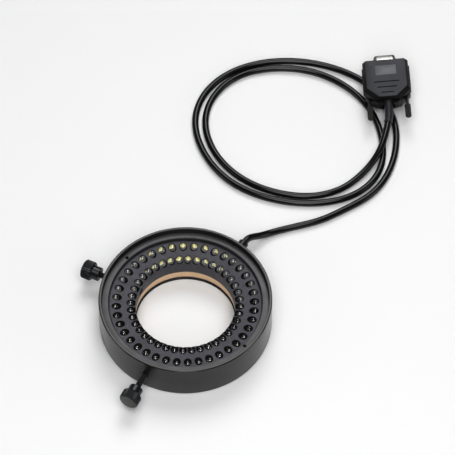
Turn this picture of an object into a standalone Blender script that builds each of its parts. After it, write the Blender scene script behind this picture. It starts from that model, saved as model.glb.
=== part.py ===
"""Microscope ring light, lying face up with its cable and nine-way connector.

The ring's axis is Z and the table is the plane z = 0.  All lengths are in metres and all angles in
degrees.  The ring stands on its mounting face, so its lamps look up.
"""

import math

import bmesh
import bpy
import numpy as np
from mathutils import Matrix, Vector

# General fits
FIT_GAP = 0.0003
CUT_OVERRUN = 0.002
LEDGE_OVERRUN = 0.0014
GRIP_OVERRUN = 0.0010
BOSS_OVERRUN = 0.0007
MERGE_DISTANCE = 0.00001
RING_SIDES = 64

# Housing, a turned cup with a floor and a bore
HOUSING_RADIUS = 0.0550
HOUSING_HEIGHT = 0.0260
RIM_WALL = 0.0018
RIM_CHAMFER = 0.0005
BODY_WALL = 0.0040
FLOOR_THICKNESS = 0.0020
FLOOR_BORE_STEP = 0.0012
FOOT_CHAMFER = 0.0008
RIM_STAND = 0.0037

# Retaining ring that screws into the rim
RETAINER_THICKNESS = 0.0030
RETAINER_WIDTH = 0.0041
RETAINER_CHAMFER = 0.0003
SPANNER_HOLE_RADIUS = 0.0011
SPANNER_HOLE_DEPTH = 0.0015
SPANNER_HOLE_INSET = 0.0027
SPANNER_ANGLE = 138.3

# Dished plate that holds the lamps, with a skirt down the bore
PLATE_EDGE_GAP = 0.0006
PLATE_BORE_INSET = 0.0026
PLATE_LIP_THICKNESS = 0.0014
PLATE_STEP = 0.0009
PLATE_DISH = 0.0015
PLATE_THICKNESS = 0.0023
SKIRT_WALL = 0.0017

# Copper-coloured ring under the skirt
LINER_BORE_STEP = 0.0005
LINER_WALL = 0.0022
LINER_CLAMP_GAP = 0.0040

# Lamps in two rows, leaning in towards the axis
LAMP_PITCH = 0.00535
LAMP_PHASE = 2.3
LAMP_TILT = 42.0
OUTER_ROW_INSET = 0.00445
ROW_SPACING = 0.00945
LAMP_RADIUS = 0.00195
LAMP_SIDES = 8
LAMP_DOME = 0.0009
LAMP_DOME_SHARE = 0.55
LAMP_RECESS = 0.0004
LAMP_HOLE_CLEARANCE = 0.0004
LAMP_HOLE_SIDES = 8
STRIP_DEPTH = 0.0052
STRIP_THICKNESS = 0.0008
STRIP_HALF_WIDTH = 0.00205

# Circuit board on three posts of the floor
BOARD_WIDTH = 0.0120
BOARD_EDGE_GAP = 0.0035
BOARD_THICKNESS = 0.0016
BOARD_CLAMP_GAP = 0.0038
POST_INSET = 0.0055
POST_RADIUS = 0.0029
POST_ANGLES = (15.0, 135.0, 270.0)
BOARD_SCREW_RADIUS = 0.00125
BOARD_SCREW_GRIP_SHARE = 0.6
BOARD_SCREW_HEAD_RADIUS = 0.0023
BOARD_SCREW_HEAD_HEIGHT = 0.0015
HEADER_WIDTH = 0.0080
HEADER_DEPTH = 0.0045
HEADER_HEIGHT = 0.0038
HEADER_INSET = 0.0070
ROW_WIRE_RADIUS = 0.00045
ROW_WIRE_ANGLE = 84.0
ROW_WIRE_REACH = 0.0020
ROW_WIRE_STAND = 0.0012
ROW_WIRE_STEPS = 8

# Clamping screws, each a knob on a threaded shank with a swivelling pad
CLAMP_DROP = 0.0137
LEFT_CLAMP_ANGLE = 153.75
FRONT_CLAMP_ANGLE = 242.6
LEFT_CLAMP_STAND = 0.0063
FRONT_CLAMP_STAND = 0.0108
SHANK_RADIUS = 0.00195
CLAMP_REACH = 0.0270
CLAMP_SIDES = 12
KNOB_NECK_RADIUS = 0.0045
KNOB_NECK_LENGTH = 0.0047
KNOB_HEAD_RADIUS = 0.0062
KNOB_HEAD_LENGTH = 0.0068
KNOB_CHAMFER = 0.0007
KNOB_BORE_DEPTH = 0.0065
KNOB_FLUTES = 18
KNOB_FLUTE_DEPTH = 0.0005
PAD_THICKNESS = 0.0020
PAD_CHAMFER = 0.0004
PAD_PEG_RADIUS = 0.0008
PAD_PEG_LENGTH = 0.0020

# Gland where the cable leaves the housing
GLAND_ANGLE = 55.0
GLAND_BOARD_RISE = 0.0015
GLAND_LENGTH = 0.0105
GLAND_ROOT_RADIUS = 0.0036
GLAND_TIP_RADIUS = 0.0032
GLAND_STUB_RADIUS = 0.0029
GLAND_STUB_REACH = 0.0030
GLAND_CHAMFER = 0.0005
GLAND_NUT_WALL = 0.0014
GLAND_NUT_THICKNESS = 0.0021
INNER_LEAD_RADIUS = 0.0011

# Cable and its hand-chosen route on the table
CABLE_RADIUS = 0.0022
CABLE_STRAIGHT = 0.0020
CABLE_STEPS = 77
SAMPLES_PER_POINT = 40
GAP_SAMPLES_PER_STEP = 6
GAP_LEAST_RUN = 12 * CABLE_RADIUS
CABLE_ROUTE = (
    (0.0410, 0.0575, 0.0089), (0.0455, 0.0607, 0.0066), (0.0515, 0.0643, 0.0040),
    (0.0575, 0.0672, 0.0025), (0.0673, 0.0704, 0.0022), (0.0771, 0.0731, 0.0022),
    (0.0858, 0.0759, 0.0022), (0.1021, 0.0844, 0.0022), (0.1215, 0.0980, 0.0022),
    (0.1324, 0.1145, 0.0022), (0.1378, 0.1340, 0.0022), (0.1380, 0.1525, 0.0022),
    (0.1205, 0.1869, 0.0022), (0.1052, 0.1974, 0.0022), (0.0435, 0.2033, 0.0022),
    (0.0240, 0.1933, 0.0022), (0.0106, 0.1773, 0.0022), (0.0053, 0.1576, 0.0022),
    (0.0082, 0.1383, 0.0022), (0.0315, 0.1050, 0.0022), (0.0500, 0.0952, 0.0022),
    (0.0720, 0.0903, 0.0022), (0.1140, 0.0998, 0.0022), (0.1260, 0.1150, 0.0022),
    (0.1293, 0.1350, 0.0022), (0.1180, 0.1718, 0.0022), (0.0820, 0.1979, 0.0022),
    (0.0580, 0.2004, 0.0022), (0.0372, 0.1953, 0.0022), (0.0222, 0.1835, 0.0022),
    (0.0132, 0.1655, 0.0022), (0.0130, 0.1460, 0.0022), (0.0385, 0.1080, 0.0022),
    (0.0600, 0.0982, 0.0022), (0.0825, 0.0958, 0.0022), (0.1015, 0.1017, 0.0022),
    (0.1150, 0.1128, 0.0032), (0.1245, 0.1246, 0.0059), (0.1316, 0.1435, 0.0092),
    (0.1328, 0.1492, 0.0098),
)

# Connector, placed by the middle of its front face
CONNECTOR_PLACE = (0.1319, 0.1943, 0.0128)
CONNECTOR_YAW = 2.8
CONNECTOR_ROLL = 4.0

# Hood in two shells round the connector
HOOD_HALF_WIDTH = 0.0152
HOOD_HALF_HEIGHT = 0.0072
HOOD_LENGTH = 0.0305
HOOD_CORNER = 0.0065
SHOULDER_HEIGHT = 0.0022
PLATEAU_HALF_WIDTH = 0.0133
PLATEAU_LENGTH = 0.0301
PLATEAU_CORNER = 0.0077
HOOD_WALL = 0.0018
LEDGE_HEIGHT = 0.0027
LEDGE_RADIUS = 0.0113
LEDGE_CENTRE = 0.0230
LEDGE_ARC_STEPS = 10
FRONT_LIP = 0.0005
HOOD_CAVITY_HALF_WIDTH = 0.0086
HOOD_BOSS_RADIUS = 0.0028
HOOD_BOSS_ACROSS = 0.0060
HOOD_BOSS_BACK = 0.0243
HOOD_SCREW_RADIUS = 0.0013
HOOD_SCREW_REACH = 0.0036
HOOD_SCREW_HEAD_RADIUS = 0.0023
HOOD_SCREW_HEAD_HEIGHT = 0.0014
LABEL_LENGTH = 0.0135
LABEL_DEPTH = 0.0075
LABEL_THICKNESS = 0.0006
LABEL_BACK = 0.0046
GROOVE_WIDTH = 0.0009
GROOVE_DEPTH = 0.0004
GROOVE_LENGTHS = (0.0170, 0.0130, 0.0085)
GROOVE_START = 0.0176
GROOVE_PITCH = 0.0044
GRIP_START = 0.0045
GRIP_LENGTH = 0.0175
GRIP_HALF_HEIGHT = 0.0042
GRIP_STAND = 0.0006
GRIP_NOTCHES = 5
GRIP_NOTCH_SHARE = 0.4

# D-shaped metal shell, its insulator and contacts
FLANGE_HALF_WIDTH = 0.0146
FLANGE_HALF_HEIGHT = 0.00625
FLANGE_CORNER = 0.0024
FLANGE_THICKNESS = 0.0009
SHELL_HALF_WIDTH = 0.00815
SHELL_HALF_HEIGHT = 0.00395
SHELL_SIDE_ANGLE = 10.0
SHELL_CORNER = 0.0014
SHELL_WALL = 0.0005
SHELL_REACH = 0.0069
INSULATOR_RECESS = 0.0005
INSULATOR_COLLAR = 0.0032
INSULATOR_LENGTH = 0.0072
CONTACT_PITCH = 0.00277
CONTACT_ROW_SPACING = 0.00284
CONTACT_RADIUS = 0.00075
CONTACT_RECESS = 0.0010
CONTACT_TAIL = 0.0028
CONTACT_SIDES = 6

# Jackscrews, loose in the hood behind their clips
JACK_SPACING = 0.02499
JACK_RADIUS = 0.0014
JACK_SETBACK = 0.0008
JACK_TRAVEL = 0.0038
JACK_END = 0.0430
JACK_NECK_RADIUS = 0.0011
JACK_TAIL_LENGTH = 0.0098
JACK_TAIL_RADIUS = 0.0020
JACK_CHAMFER = 0.0004
JACK_COLLAR_RADIUS = 0.0019
JACK_COLLAR_LENGTH = 0.0006
JACK_SIDES = 12
CLIP_THICKNESS = 0.0008
CLIP_RADIUS = 0.0022
CLIP_MOUTH = 0.0014
POCKET_BACK = 0.0205

# Moulded boot and what the hood holds behind the contacts
BOOT_ROOT_RADIUS = 0.0033
BOOT_TIP_RADIUS = 0.0025
BOOT_BORE_CLEARANCE = 0.0009
BOOT_FLANGE_RADIUS = 0.0048
BOOT_FLANGE_LENGTH = 0.0015
BOOT_START = 0.0272
BOOT_STEPS = 8
HOOD_LEAD_END = 0.0165
SADDLE_HALF_WIDTH = 0.0062
SADDLE_LENGTH = 0.0040
SADDLE_THICKNESS = 0.0011
SADDLE_BACK = 0.0212
SADDLE_ARC_STEPS = 8
CONDUCTOR_RADIUS = 0.0005
CONDUCTOR_BEND = 0.0012
CONDUCTOR_STEPS = 7

# Colour, metallic value and roughness of each finish
FINISHES = {
    "anodised": ((0.035, 0.035, 0.037), 0.55, 0.42),
    "plate_black": ((0.045, 0.044, 0.052), 0.35, 0.50),
    "copper_tan": ((0.62, 0.36, 0.20), 0.60, 0.45),
    "lens": ((0.09, 0.09, 0.08), 0.00, 0.12),
    "board_green": ((0.02, 0.12, 0.05), 0.00, 0.45),
    "steel": ((0.55, 0.55, 0.54), 1.00, 0.30),
    "knob_black": ((0.020, 0.020, 0.021), 0.00, 0.38),
    "black_steel": ((0.030, 0.030, 0.030), 0.80, 0.35),
    "nylon": ((0.75, 0.74, 0.70), 0.00, 0.50),
    "rubber": ((0.016, 0.016, 0.018), 0.00, 0.40),
    "cable_black": ((0.012, 0.012, 0.014), 0.00, 0.28),
    "hood_grey": ((0.045, 0.046, 0.052), 0.00, 0.55),
    "label_grey": ((0.085, 0.086, 0.095), 0.00, 0.50),
    "tin": ((0.72, 0.72, 0.70), 1.00, 0.25),
    "insulator": ((0.015, 0.015, 0.017), 0.00, 0.50),
    "gold": ((0.78, 0.55, 0.20), 1.00, 0.25),
    "copper_wire": ((0.45, 0.05, 0.04), 0.00, 0.45),
    "white": ((0.70, 0.70, 0.68), 0.00, 0.50),
}


# Collections, materials and objects

def clear_scene():
    """Remove every object that the file opened with."""
    for old in list(bpy.data.objects):
        bpy.data.objects.remove(old, do_unlink=True)


def new_collection(name):
    """Make a collection and hang it in the scene."""
    collection = bpy.data.collections.new(name)
    bpy.context.scene.collection.children.link(collection)
    return collection


def piece_material(name, finish):
    """Give a piece its own Principled material in one of the named finishes."""
    colour, metallic, roughness = FINISHES[finish]
    material = bpy.data.materials.new(name + "_finish")
    material.use_nodes = True
    shader = material.node_tree.nodes["Principled BSDF"]
    shader.inputs["Base Color"].default_value = (*colour, 1)
    shader.inputs["Metallic"].default_value = metallic
    shader.inputs["Roughness"].default_value = roughness
    material.diffuse_color = (*colour, 1)
    return material


def add_piece(name, data, finish, parent=None, matrix=None):
    """Put a mesh or curve in the parts collection, placed in its parent's frame."""
    piece = bpy.data.objects.new(name, data)
    PARTS.objects.link(piece)
    piece.parent = parent
    piece.matrix_local = matrix or Matrix()
    data.materials.clear()
    data.materials.append(piece_material(name, finish))
    return piece


def add_cutter(name, data, parent=None, matrix=None):
    """Put a cutting shape in the cutters collection, hidden from the render."""
    cutter = bpy.data.objects.new(name, data)
    CUTTERS.objects.link(cutter)
    cutter.parent = parent
    cutter.matrix_local = matrix or Matrix()
    cutter.display_type = "WIRE"
    cutter.hide_render = True
    return cutter


def add_frame(name, matrix):
    """Add an empty that carries the pieces of one sub-assembly."""
    frame = bpy.data.objects.new(name, None)
    PARTS.objects.link(frame)
    frame.matrix_local = matrix
    return frame


def combine(piece, other, operation):
    """Add an exact boolean of the given kind to a piece."""
    modifier = piece.modifiers.new(other.name, "BOOLEAN")
    modifier.operation = operation
    modifier.solver = "EXACT"
    modifier.object = other


def cut(piece, *cutters):
    """Cut each cutter out of a piece."""
    for cutter in cutters:
        combine(piece, cutter, "DIFFERENCE")


def unite(piece, *others):
    """Join each other shape onto a piece."""
    for other in others:
        combine(piece, other, "UNION")


def evaluated_mesh(piece):
    """Return the piece's mesh as its modifiers leave it, with loose caps welded."""
    graph = bpy.context.evaluated_depsgraph_get()
    mesh = bpy.data.meshes.new_from_object(piece.evaluated_get(graph))
    work = bmesh.new()
    work.from_mesh(mesh)
    bmesh.ops.remove_doubles(work, verts=work.verts, dist=MERGE_DISTANCE)
    bmesh.ops.recalc_face_normals(work, faces=work.faces)
    work.to_mesh(mesh)
    work.free()
    return mesh


def smooth(mesh, angle=40.0):
    """Shade a mesh smooth except across its sharp edges."""
    mesh.shade_smooth()
    mesh.set_sharp_from_angle(angle=math.radians(angle))
    return mesh


# Basic shapes

def turned_mesh(name, profile, sides, closed=False):
    """Turn a profile of (radius, height) pairs about Z.

    It runs down its outer side from top to bottom; a closed one comes back up its inner side.
    """
    mesh = bpy.data.meshes.new(name)
    count = len(profile)
    links = [(i, i + 1) for i in range(count - 1)]
    if closed:
        links.append((count - 1, 0))
    mesh.from_pydata([(radius, 0, height) for radius, height in profile], links, [])
    blank = bpy.data.objects.new(name + "_blank", mesh)
    CUTTERS.objects.link(blank)
    screw = blank.modifiers.new("turn", "SCREW")
    screw.steps = sides
    screw.render_steps = sides
    screw.use_merge_vertices = True
    screw.merge_threshold = MERGE_DISTANCE
    result = evaluated_mesh(blank)
    bpy.data.objects.remove(blank, do_unlink=True)
    return smooth(result)


def rod_mesh(name, radius, low, high, sides):
    """Make a plain cylinder about Z between two heights."""
    work = bmesh.new()
    middle = Matrix.Translation((0, 0, (low + high) / 2))
    bmesh.ops.create_cone(work, cap_ends=True, segments=sides, radius1=radius, radius2=radius,
                          depth=high - low, matrix=middle)
    mesh = bpy.data.meshes.new(name)
    work.to_mesh(mesh)
    work.free()
    return smooth(mesh)


def box_mesh(name, low, high):
    """Make a box between two opposite corners."""
    low = Vector(low)
    high = Vector(high)
    work = bmesh.new()
    placed = Matrix.Translation((low + high) / 2) @ Matrix.Diagonal((*(high - low), 1))
    bmesh.ops.create_cube(work, size=1, matrix=placed)
    mesh = bpy.data.meshes.new(name)
    work.to_mesh(mesh)
    work.free()
    return mesh


def slab_mesh(name, outline, low, high):
    """Extrude a flat outline from one height to another, as a filled 2D curve."""
    curve = bpy.data.curves.new(name, "CURVE")
    curve.dimensions = "2D"
    curve.fill_mode = "BOTH"
    curve.extrude = (high - low) / 2
    spline = curve.splines.new("POLY")
    spline.points.add(len(outline) - 1)
    for point, (across, along) in zip(spline.points, outline):
        point.co = (across, along, 0, 1)
    spline.use_cyclic_u = True
    blank = bpy.data.objects.new(name + "_blank", curve)
    CUTTERS.objects.link(blank)
    mesh = evaluated_mesh(blank)
    bpy.data.objects.remove(blank, do_unlink=True)
    mesh.transform(Matrix.Translation((0, 0, (low + high) / 2)))
    return mesh


def facing_slab_mesh(name, outline, back, front):
    """Extrude an outline drawn in width and height along Y, from its back to its front."""
    mesh = slab_mesh(name, outline, -front, -back)
    mesh.transform(Matrix.Rotation(math.radians(90), 4, "X"))
    return mesh


def tube_curve(name, points, radius, shares=None, resolution=2):
    """Make a tube along points; shares give the radius at each point as a share of the full one."""
    curve = bpy.data.curves.new(name, "CURVE")
    curve.dimensions = "3D"
    curve.bevel_depth = radius
    curve.bevel_resolution = resolution
    curve.use_fill_caps = True
    spline = curve.splines.new("POLY")
    spline.points.add(len(points) - 1)
    for index, (point, place) in enumerate(zip(spline.points, points)):
        point.co = (*place, 1)
        point.radius = shares[index] if shares else 1
    spline.use_smooth = True
    return curve


def many_copies(name, mesh, matrices):
    """Put one copy of a mesh at each matrix, all in one mesh."""
    work = bmesh.new()
    for matrix in matrices:
        one = mesh.copy()
        one.transform(matrix)
        work.from_mesh(one)
        bpy.data.meshes.remove(one)
    result = bpy.data.meshes.new(name)
    work.to_mesh(result)
    work.free()
    return result


# Places round the ring

def about_axis(angle):
    """Turn about the ring's axis by an angle in degrees."""
    return Matrix.Rotation(math.radians(angle), 4, "Z")


def radial_frame(angle, height, distance=0):
    """A frame whose Z axis points straight out from the ring's axis at an angle and height."""
    lying = Matrix.Rotation(math.radians(90), 4, "Y")
    return about_axis(angle) @ Matrix.Translation((distance, 0, height)) @ lying


def polar(radius, angle, height):
    """A point at a radius, an angle in degrees and a height."""
    turn = math.radians(angle)
    return (radius * math.cos(turn), radius * math.sin(turn), height)


# Radii that step in from the housing's wall

RIM_BORE_RADIUS = HOUSING_RADIUS - RIM_WALL
BODY_BORE_RADIUS = HOUSING_RADIUS - BODY_WALL
RETAINER_RADIUS = RIM_BORE_RADIUS - FIT_GAP
RETAINER_BORE_RADIUS = RETAINER_RADIUS - RETAINER_WIDTH
SPANNER_CIRCLE_RADIUS = RETAINER_RADIUS - SPANNER_HOLE_INSET
PLATE_FACE_RADIUS = RETAINER_BORE_RADIUS - PLATE_EDGE_GAP
OUTER_ROW_RADIUS = PLATE_FACE_RADIUS - OUTER_ROW_INSET
INNER_ROW_RADIUS = OUTER_ROW_RADIUS - ROW_SPACING
PLATE_BORE_RADIUS = INNER_ROW_RADIUS - PLATE_BORE_INSET
LINER_BORE_RADIUS = PLATE_BORE_RADIUS + LINER_BORE_STEP
FLOOR_BORE_RADIUS = PLATE_BORE_RADIUS + FLOOR_BORE_STEP
BOARD_OUTER_RADIUS = BODY_BORE_RADIUS - BOARD_EDGE_GAP
BOARD_INNER_RADIUS = BOARD_OUTER_RADIUS - BOARD_WIDTH
POST_CIRCLE_RADIUS = BOARD_OUTER_RADIUS - POST_INSET
HEADER_CIRCLE_RADIUS = BOARD_OUTER_RADIUS - HEADER_INSET
LEFT_CLAMP_REST = HOUSING_RADIUS + LEFT_CLAMP_STAND
FRONT_CLAMP_REST = HOUSING_RADIUS + FRONT_CLAMP_STAND
LAMPS_PER_ROW = int(2 * math.pi * INNER_ROW_RADIUS / LAMP_PITCH)


# Heights that stack down from the rim

RETAINER_TOP = HOUSING_HEIGHT - RIM_STAND
RETAINER_BOTTOM = RETAINER_TOP - RETAINER_THICKNESS
LIP_TOP = RETAINER_BOTTOM - FIT_GAP
LIP_BOTTOM = LIP_TOP - PLATE_LIP_THICKNESS
SEAT_HEIGHT = LIP_BOTTOM - FIT_GAP
FACE_EDGE_HEIGHT = LIP_TOP + PLATE_STEP
FACE_BORE_HEIGHT = FACE_EDGE_HEIGHT - PLATE_DISH
CLAMP_HEIGHT = HOUSING_HEIGHT - CLAMP_DROP
LINER_BOTTOM = FLOOR_THICKNESS + FIT_GAP
LINER_TOP = CLAMP_HEIGHT - LINER_CLAMP_GAP
SKIRT_BOTTOM = LINER_TOP + FIT_GAP
BOARD_TOP = CLAMP_HEIGHT - BOARD_CLAMP_GAP
BOARD_BOTTOM = BOARD_TOP - BOARD_THICKNESS
POST_TOP = BOARD_BOTTOM - FIT_GAP
GLAND_HEIGHT = BOARD_TOP + GLAND_BOARD_RISE


def face_height(radius):
    """Height of the lamp plate's dished face at a radius."""
    share = (radius - PLATE_BORE_RADIUS) / (PLATE_FACE_RADIUS - PLATE_BORE_RADIUS)
    return FACE_BORE_HEIGHT + share * PLATE_DISH


def lamp_frame(row_radius, angle):
    """A frame at a lamp's mouth in the plate's face, its Z axis along the lamp's beam."""
    lean = Matrix.Rotation(math.radians(-LAMP_TILT), 4, "Y")
    return about_axis(angle) @ Matrix.Translation((row_radius, 0, face_height(row_radius))) @ lean


def row_frames(row_radius, phase):
    """The frames of all the lamps of one row."""
    pitch = 360 / LAMPS_PER_ROW
    return [lamp_frame(row_radius, phase + pitch * k) for k in range(LAMPS_PER_ROW)]


def along_lamp(row_radius, depth, aside):
    """Radius and height of a point below a lamp's mouth, at a depth and a step aside, outwards."""
    lean = math.radians(LAMP_TILT)
    radius = row_radius + depth * math.sin(lean) + aside * math.cos(lean)
    height = face_height(row_radius) - depth * math.cos(lean) + aside * math.sin(lean)
    return (radius, height)


INNER_PHASE = LAMP_PHASE + 180 / LAMPS_PER_ROW


# The ring's own pieces

def clamp_bore_cutters():
    """Clearance bores along both clamping screws, through wall, strips and skirt."""
    bores = []
    for side, angle in (("left", LEFT_CLAMP_ANGLE), ("front", FRONT_CLAMP_ANGLE)):
        low = PLATE_BORE_RADIUS - CUT_OVERRUN
        high = HOUSING_RADIUS + CUT_OVERRUN
        mesh = rod_mesh("clamp_bore_" + side, SHANK_RADIUS + FIT_GAP, low, high, CLAMP_SIDES)
        bores.append(add_cutter("clamp_bore_" + side, mesh, None, radial_frame(angle, CLAMP_HEIGHT)))
    return bores


def build_housing(clamp_bores):
    """Turned cup: outer wall, seat for the lamp plate, floor with its bore, posts for the board."""
    profile = [
        (HOUSING_RADIUS - RIM_CHAMFER, HOUSING_HEIGHT),
        (HOUSING_RADIUS, HOUSING_HEIGHT - RIM_CHAMFER),
        (HOUSING_RADIUS, FOOT_CHAMFER),
        (HOUSING_RADIUS - FOOT_CHAMFER, 0),
        (FLOOR_BORE_RADIUS, 0),
        (FLOOR_BORE_RADIUS, FLOOR_THICKNESS),
        (BODY_BORE_RADIUS, FLOOR_THICKNESS),
        (BODY_BORE_RADIUS, SEAT_HEIGHT),
        (RIM_BORE_RADIUS, SEAT_HEIGHT),
        (RIM_BORE_RADIUS, HOUSING_HEIGHT),
    ]
    housing = add_piece("housing", turned_mesh("housing", profile, RING_SIDES, True), "anodised")
    foot = FLOOR_THICKNESS / 2
    post = rod_mesh("post", POST_RADIUS, foot, POST_TOP, LAMP_SIDES)
    tapping = rod_mesh("tapping", BOARD_SCREW_RADIUS + FIT_GAP, FLOOR_THICKNESS, POST_TOP + CUT_OVERRUN,
                       LAMP_SIDES)
    places = [Matrix.Translation(polar(POST_CIRCLE_RADIUS, angle, 0)) for angle in POST_ANGLES]
    unite(housing, add_cutter("posts", many_copies("posts", post, places)))
    cut(housing, add_cutter("post_tappings", many_copies("tappings", tapping, places)))
    hole = rod_mesh("gland_hole", GLAND_STUB_RADIUS + FIT_GAP, BODY_BORE_RADIUS - CUT_OVERRUN,
                    HOUSING_RADIUS + CUT_OVERRUN, CLAMP_SIDES)
    cut(housing, add_cutter("gland_hole", hole, None, radial_frame(GLAND_ANGLE, GLAND_HEIGHT)))
    cut(housing, *clamp_bores)


def build_lamp_plate(clamp_bores):
    """Dished plate with two rows of leaning holes, a lip under the retainer and a skirt."""
    profile = [
        (PLATE_FACE_RADIUS, FACE_EDGE_HEIGHT),
        (PLATE_FACE_RADIUS, LIP_TOP),
        (RETAINER_RADIUS, LIP_TOP),
        (RETAINER_RADIUS, LIP_BOTTOM),
        (PLATE_FACE_RADIUS, LIP_BOTTOM),
        (PLATE_BORE_RADIUS + SKIRT_WALL, FACE_BORE_HEIGHT - PLATE_THICKNESS),
        (PLATE_BORE_RADIUS + SKIRT_WALL, SKIRT_BOTTOM),
        (PLATE_BORE_RADIUS, SKIRT_BOTTOM),
        (PLATE_BORE_RADIUS, FACE_BORE_HEIGHT),
    ]
    mesh = turned_mesh("led_plate", profile, LAMPS_PER_ROW, True)
    mesh.transform(about_axis(LAMP_PHASE + 180 / LAMPS_PER_ROW))
    plate = add_piece("led_plate", mesh, "plate_black")
    hole = rod_mesh("lamp_hole", LAMP_RADIUS + LAMP_HOLE_CLEARANCE, -STRIP_DEPTH, CUT_OVERRUN,
                    LAMP_HOLE_SIDES)
    frames = row_frames(OUTER_ROW_RADIUS, LAMP_PHASE) + row_frames(INNER_ROW_RADIUS, INNER_PHASE)
    cut(plate, add_cutter("lamp_holes", many_copies("lamp_holes", hole, frames)))
    cut(plate, *clamp_bores)


def build_lamp_row(name, row_radius, phase, clamp_bores):
    """Conical circuit strip with its lamps standing on it."""
    profile = [
        along_lamp(row_radius, STRIP_DEPTH, STRIP_HALF_WIDTH),
        along_lamp(row_radius, STRIP_DEPTH + STRIP_THICKNESS, STRIP_HALF_WIDTH),
        along_lamp(row_radius, STRIP_DEPTH + STRIP_THICKNESS, -STRIP_HALF_WIDTH),
        along_lamp(row_radius, STRIP_DEPTH, -STRIP_HALF_WIDTH),
    ]
    mesh = turned_mesh(name, profile, LAMPS_PER_ROW, True)
    mesh.transform(about_axis(phase + 180 / LAMPS_PER_ROW))
    strip = add_piece(name, mesh, "lens")
    base = -STRIP_DEPTH - STRIP_THICKNESS / 2
    lamp = turned_mesh("lamp", [
        (0, -LAMP_RECESS),
        (LAMP_RADIUS * LAMP_DOME_SHARE, -LAMP_RECESS),
        (LAMP_RADIUS, -LAMP_RECESS - LAMP_DOME),
        (LAMP_RADIUS, base),
        (0, base),
    ], LAMP_SIDES)
    unite(strip, add_cutter(name + "_lamps", many_copies(name, lamp, row_frames(row_radius, phase))))
    cut(strip, *clamp_bores)


def build_retainer():
    """Flat ring that screws down on the plate's lip, with two spanner holes."""
    profile = [
        (RETAINER_RADIUS, RETAINER_TOP),
        (RETAINER_RADIUS, RETAINER_BOTTOM),
        (RETAINER_BORE_RADIUS, RETAINER_BOTTOM),
        (RETAINER_BORE_RADIUS, RETAINER_TOP - RETAINER_CHAMFER),
        (RETAINER_BORE_RADIUS + RETAINER_CHAMFER, RETAINER_TOP),
    ]
    ring = add_piece("retaining_ring", turned_mesh("retaining_ring", profile, RING_SIDES, True), "anodised")
    hole = rod_mesh("spanner_hole", SPANNER_HOLE_RADIUS, RETAINER_TOP - SPANNER_HOLE_DEPTH,
                    RETAINER_TOP + CUT_OVERRUN, LAMP_SIDES)
    angles = (SPANNER_ANGLE, SPANNER_ANGLE + 180)
    places = [Matrix.Translation(polar(SPANNER_CIRCLE_RADIUS, angle, 0)) for angle in angles]
    cut(ring, add_cutter("spanner_holes", many_copies("spanner_holes", hole, places)))


def build_liner():
    """Plain copper-coloured ring between the floor and the skirt."""
    outer = LINER_BORE_RADIUS + LINER_WALL
    profile = [(outer, LINER_TOP), (outer, LINER_BOTTOM), (LINER_BORE_RADIUS, LINER_BOTTOM),
               (LINER_BORE_RADIUS, LINER_TOP)]
    add_piece("bore_liner", turned_mesh("bore_liner", profile, RING_SIDES, True), "copper_tan")


def build_board():
    """Ring-shaped circuit board, its three screws and the socket that takes the cable's end."""
    profile = [(BOARD_OUTER_RADIUS, BOARD_TOP), (BOARD_OUTER_RADIUS, BOARD_BOTTOM),
               (BOARD_INNER_RADIUS, BOARD_BOTTOM), (BOARD_INNER_RADIUS, BOARD_TOP)]
    board = add_piece("circuit_board", turned_mesh("circuit_board", profile, RING_SIDES // 2, True),
                      "board_green")
    hole = rod_mesh("board_hole", BOARD_SCREW_RADIUS + FIT_GAP, BOARD_BOTTOM - CUT_OVERRUN,
                    BOARD_TOP + CUT_OVERRUN, LAMP_SIDES)
    places = [Matrix.Translation(polar(POST_CIRCLE_RADIUS, angle, 0)) for angle in POST_ANGLES]
    cut(board, add_cutter("board_holes", many_copies("board_holes", hole, places)))
    head_bottom = BOARD_TOP + FIT_GAP
    head_top = head_bottom + BOARD_SCREW_HEAD_HEIGHT
    screw_end = POST_TOP - BOARD_SCREW_GRIP_SHARE * (POST_TOP - FLOOR_THICKNESS)
    for number, place in enumerate(places, 1):
        screw = turned_mesh("board_screw", [
            (0, head_top),
            (BOARD_SCREW_HEAD_RADIUS, head_top),
            (BOARD_SCREW_HEAD_RADIUS, head_bottom),
            (BOARD_SCREW_RADIUS, head_bottom),
            (BOARD_SCREW_RADIUS, screw_end),
            (0, screw_end),
        ], LAMP_SIDES)
        add_piece("board_screw_%d" % number, screw, "steel", None, place)
    low = BOARD_TOP + FIT_GAP
    header = box_mesh("board_header", (HEADER_CIRCLE_RADIUS - HEADER_DEPTH / 2, -HEADER_WIDTH / 2, low),
                      (HEADER_CIRCLE_RADIUS + HEADER_DEPTH / 2, HEADER_WIDTH / 2, low + HEADER_HEIGHT))
    add_piece("board_header", header, "white", None, about_axis(GLAND_ANGLE))


def build_row_wire(name, row_radius, angle):
    """Wire from the board up to the underside of one lamp strip."""
    end = along_lamp(row_radius, STRIP_DEPTH + STRIP_THICKNESS + FIT_GAP, 0)
    bend = along_lamp(row_radius, STRIP_DEPTH + STRIP_THICKNESS + FIT_GAP + ROW_WIRE_REACH, 0)
    foot = (end[0], BOARD_TOP + FIT_GAP)
    knee = (end[0], BOARD_TOP + FIT_GAP + ROW_WIRE_STAND)
    points = smooth_path([polar(radius, angle, height) for radius, height in (foot, knee, bend, end)],
                         ROW_WIRE_STEPS)
    add_piece(name, tube_curve(name, points, ROW_WIRE_RADIUS, None, 1), "copper_wire")


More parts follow.
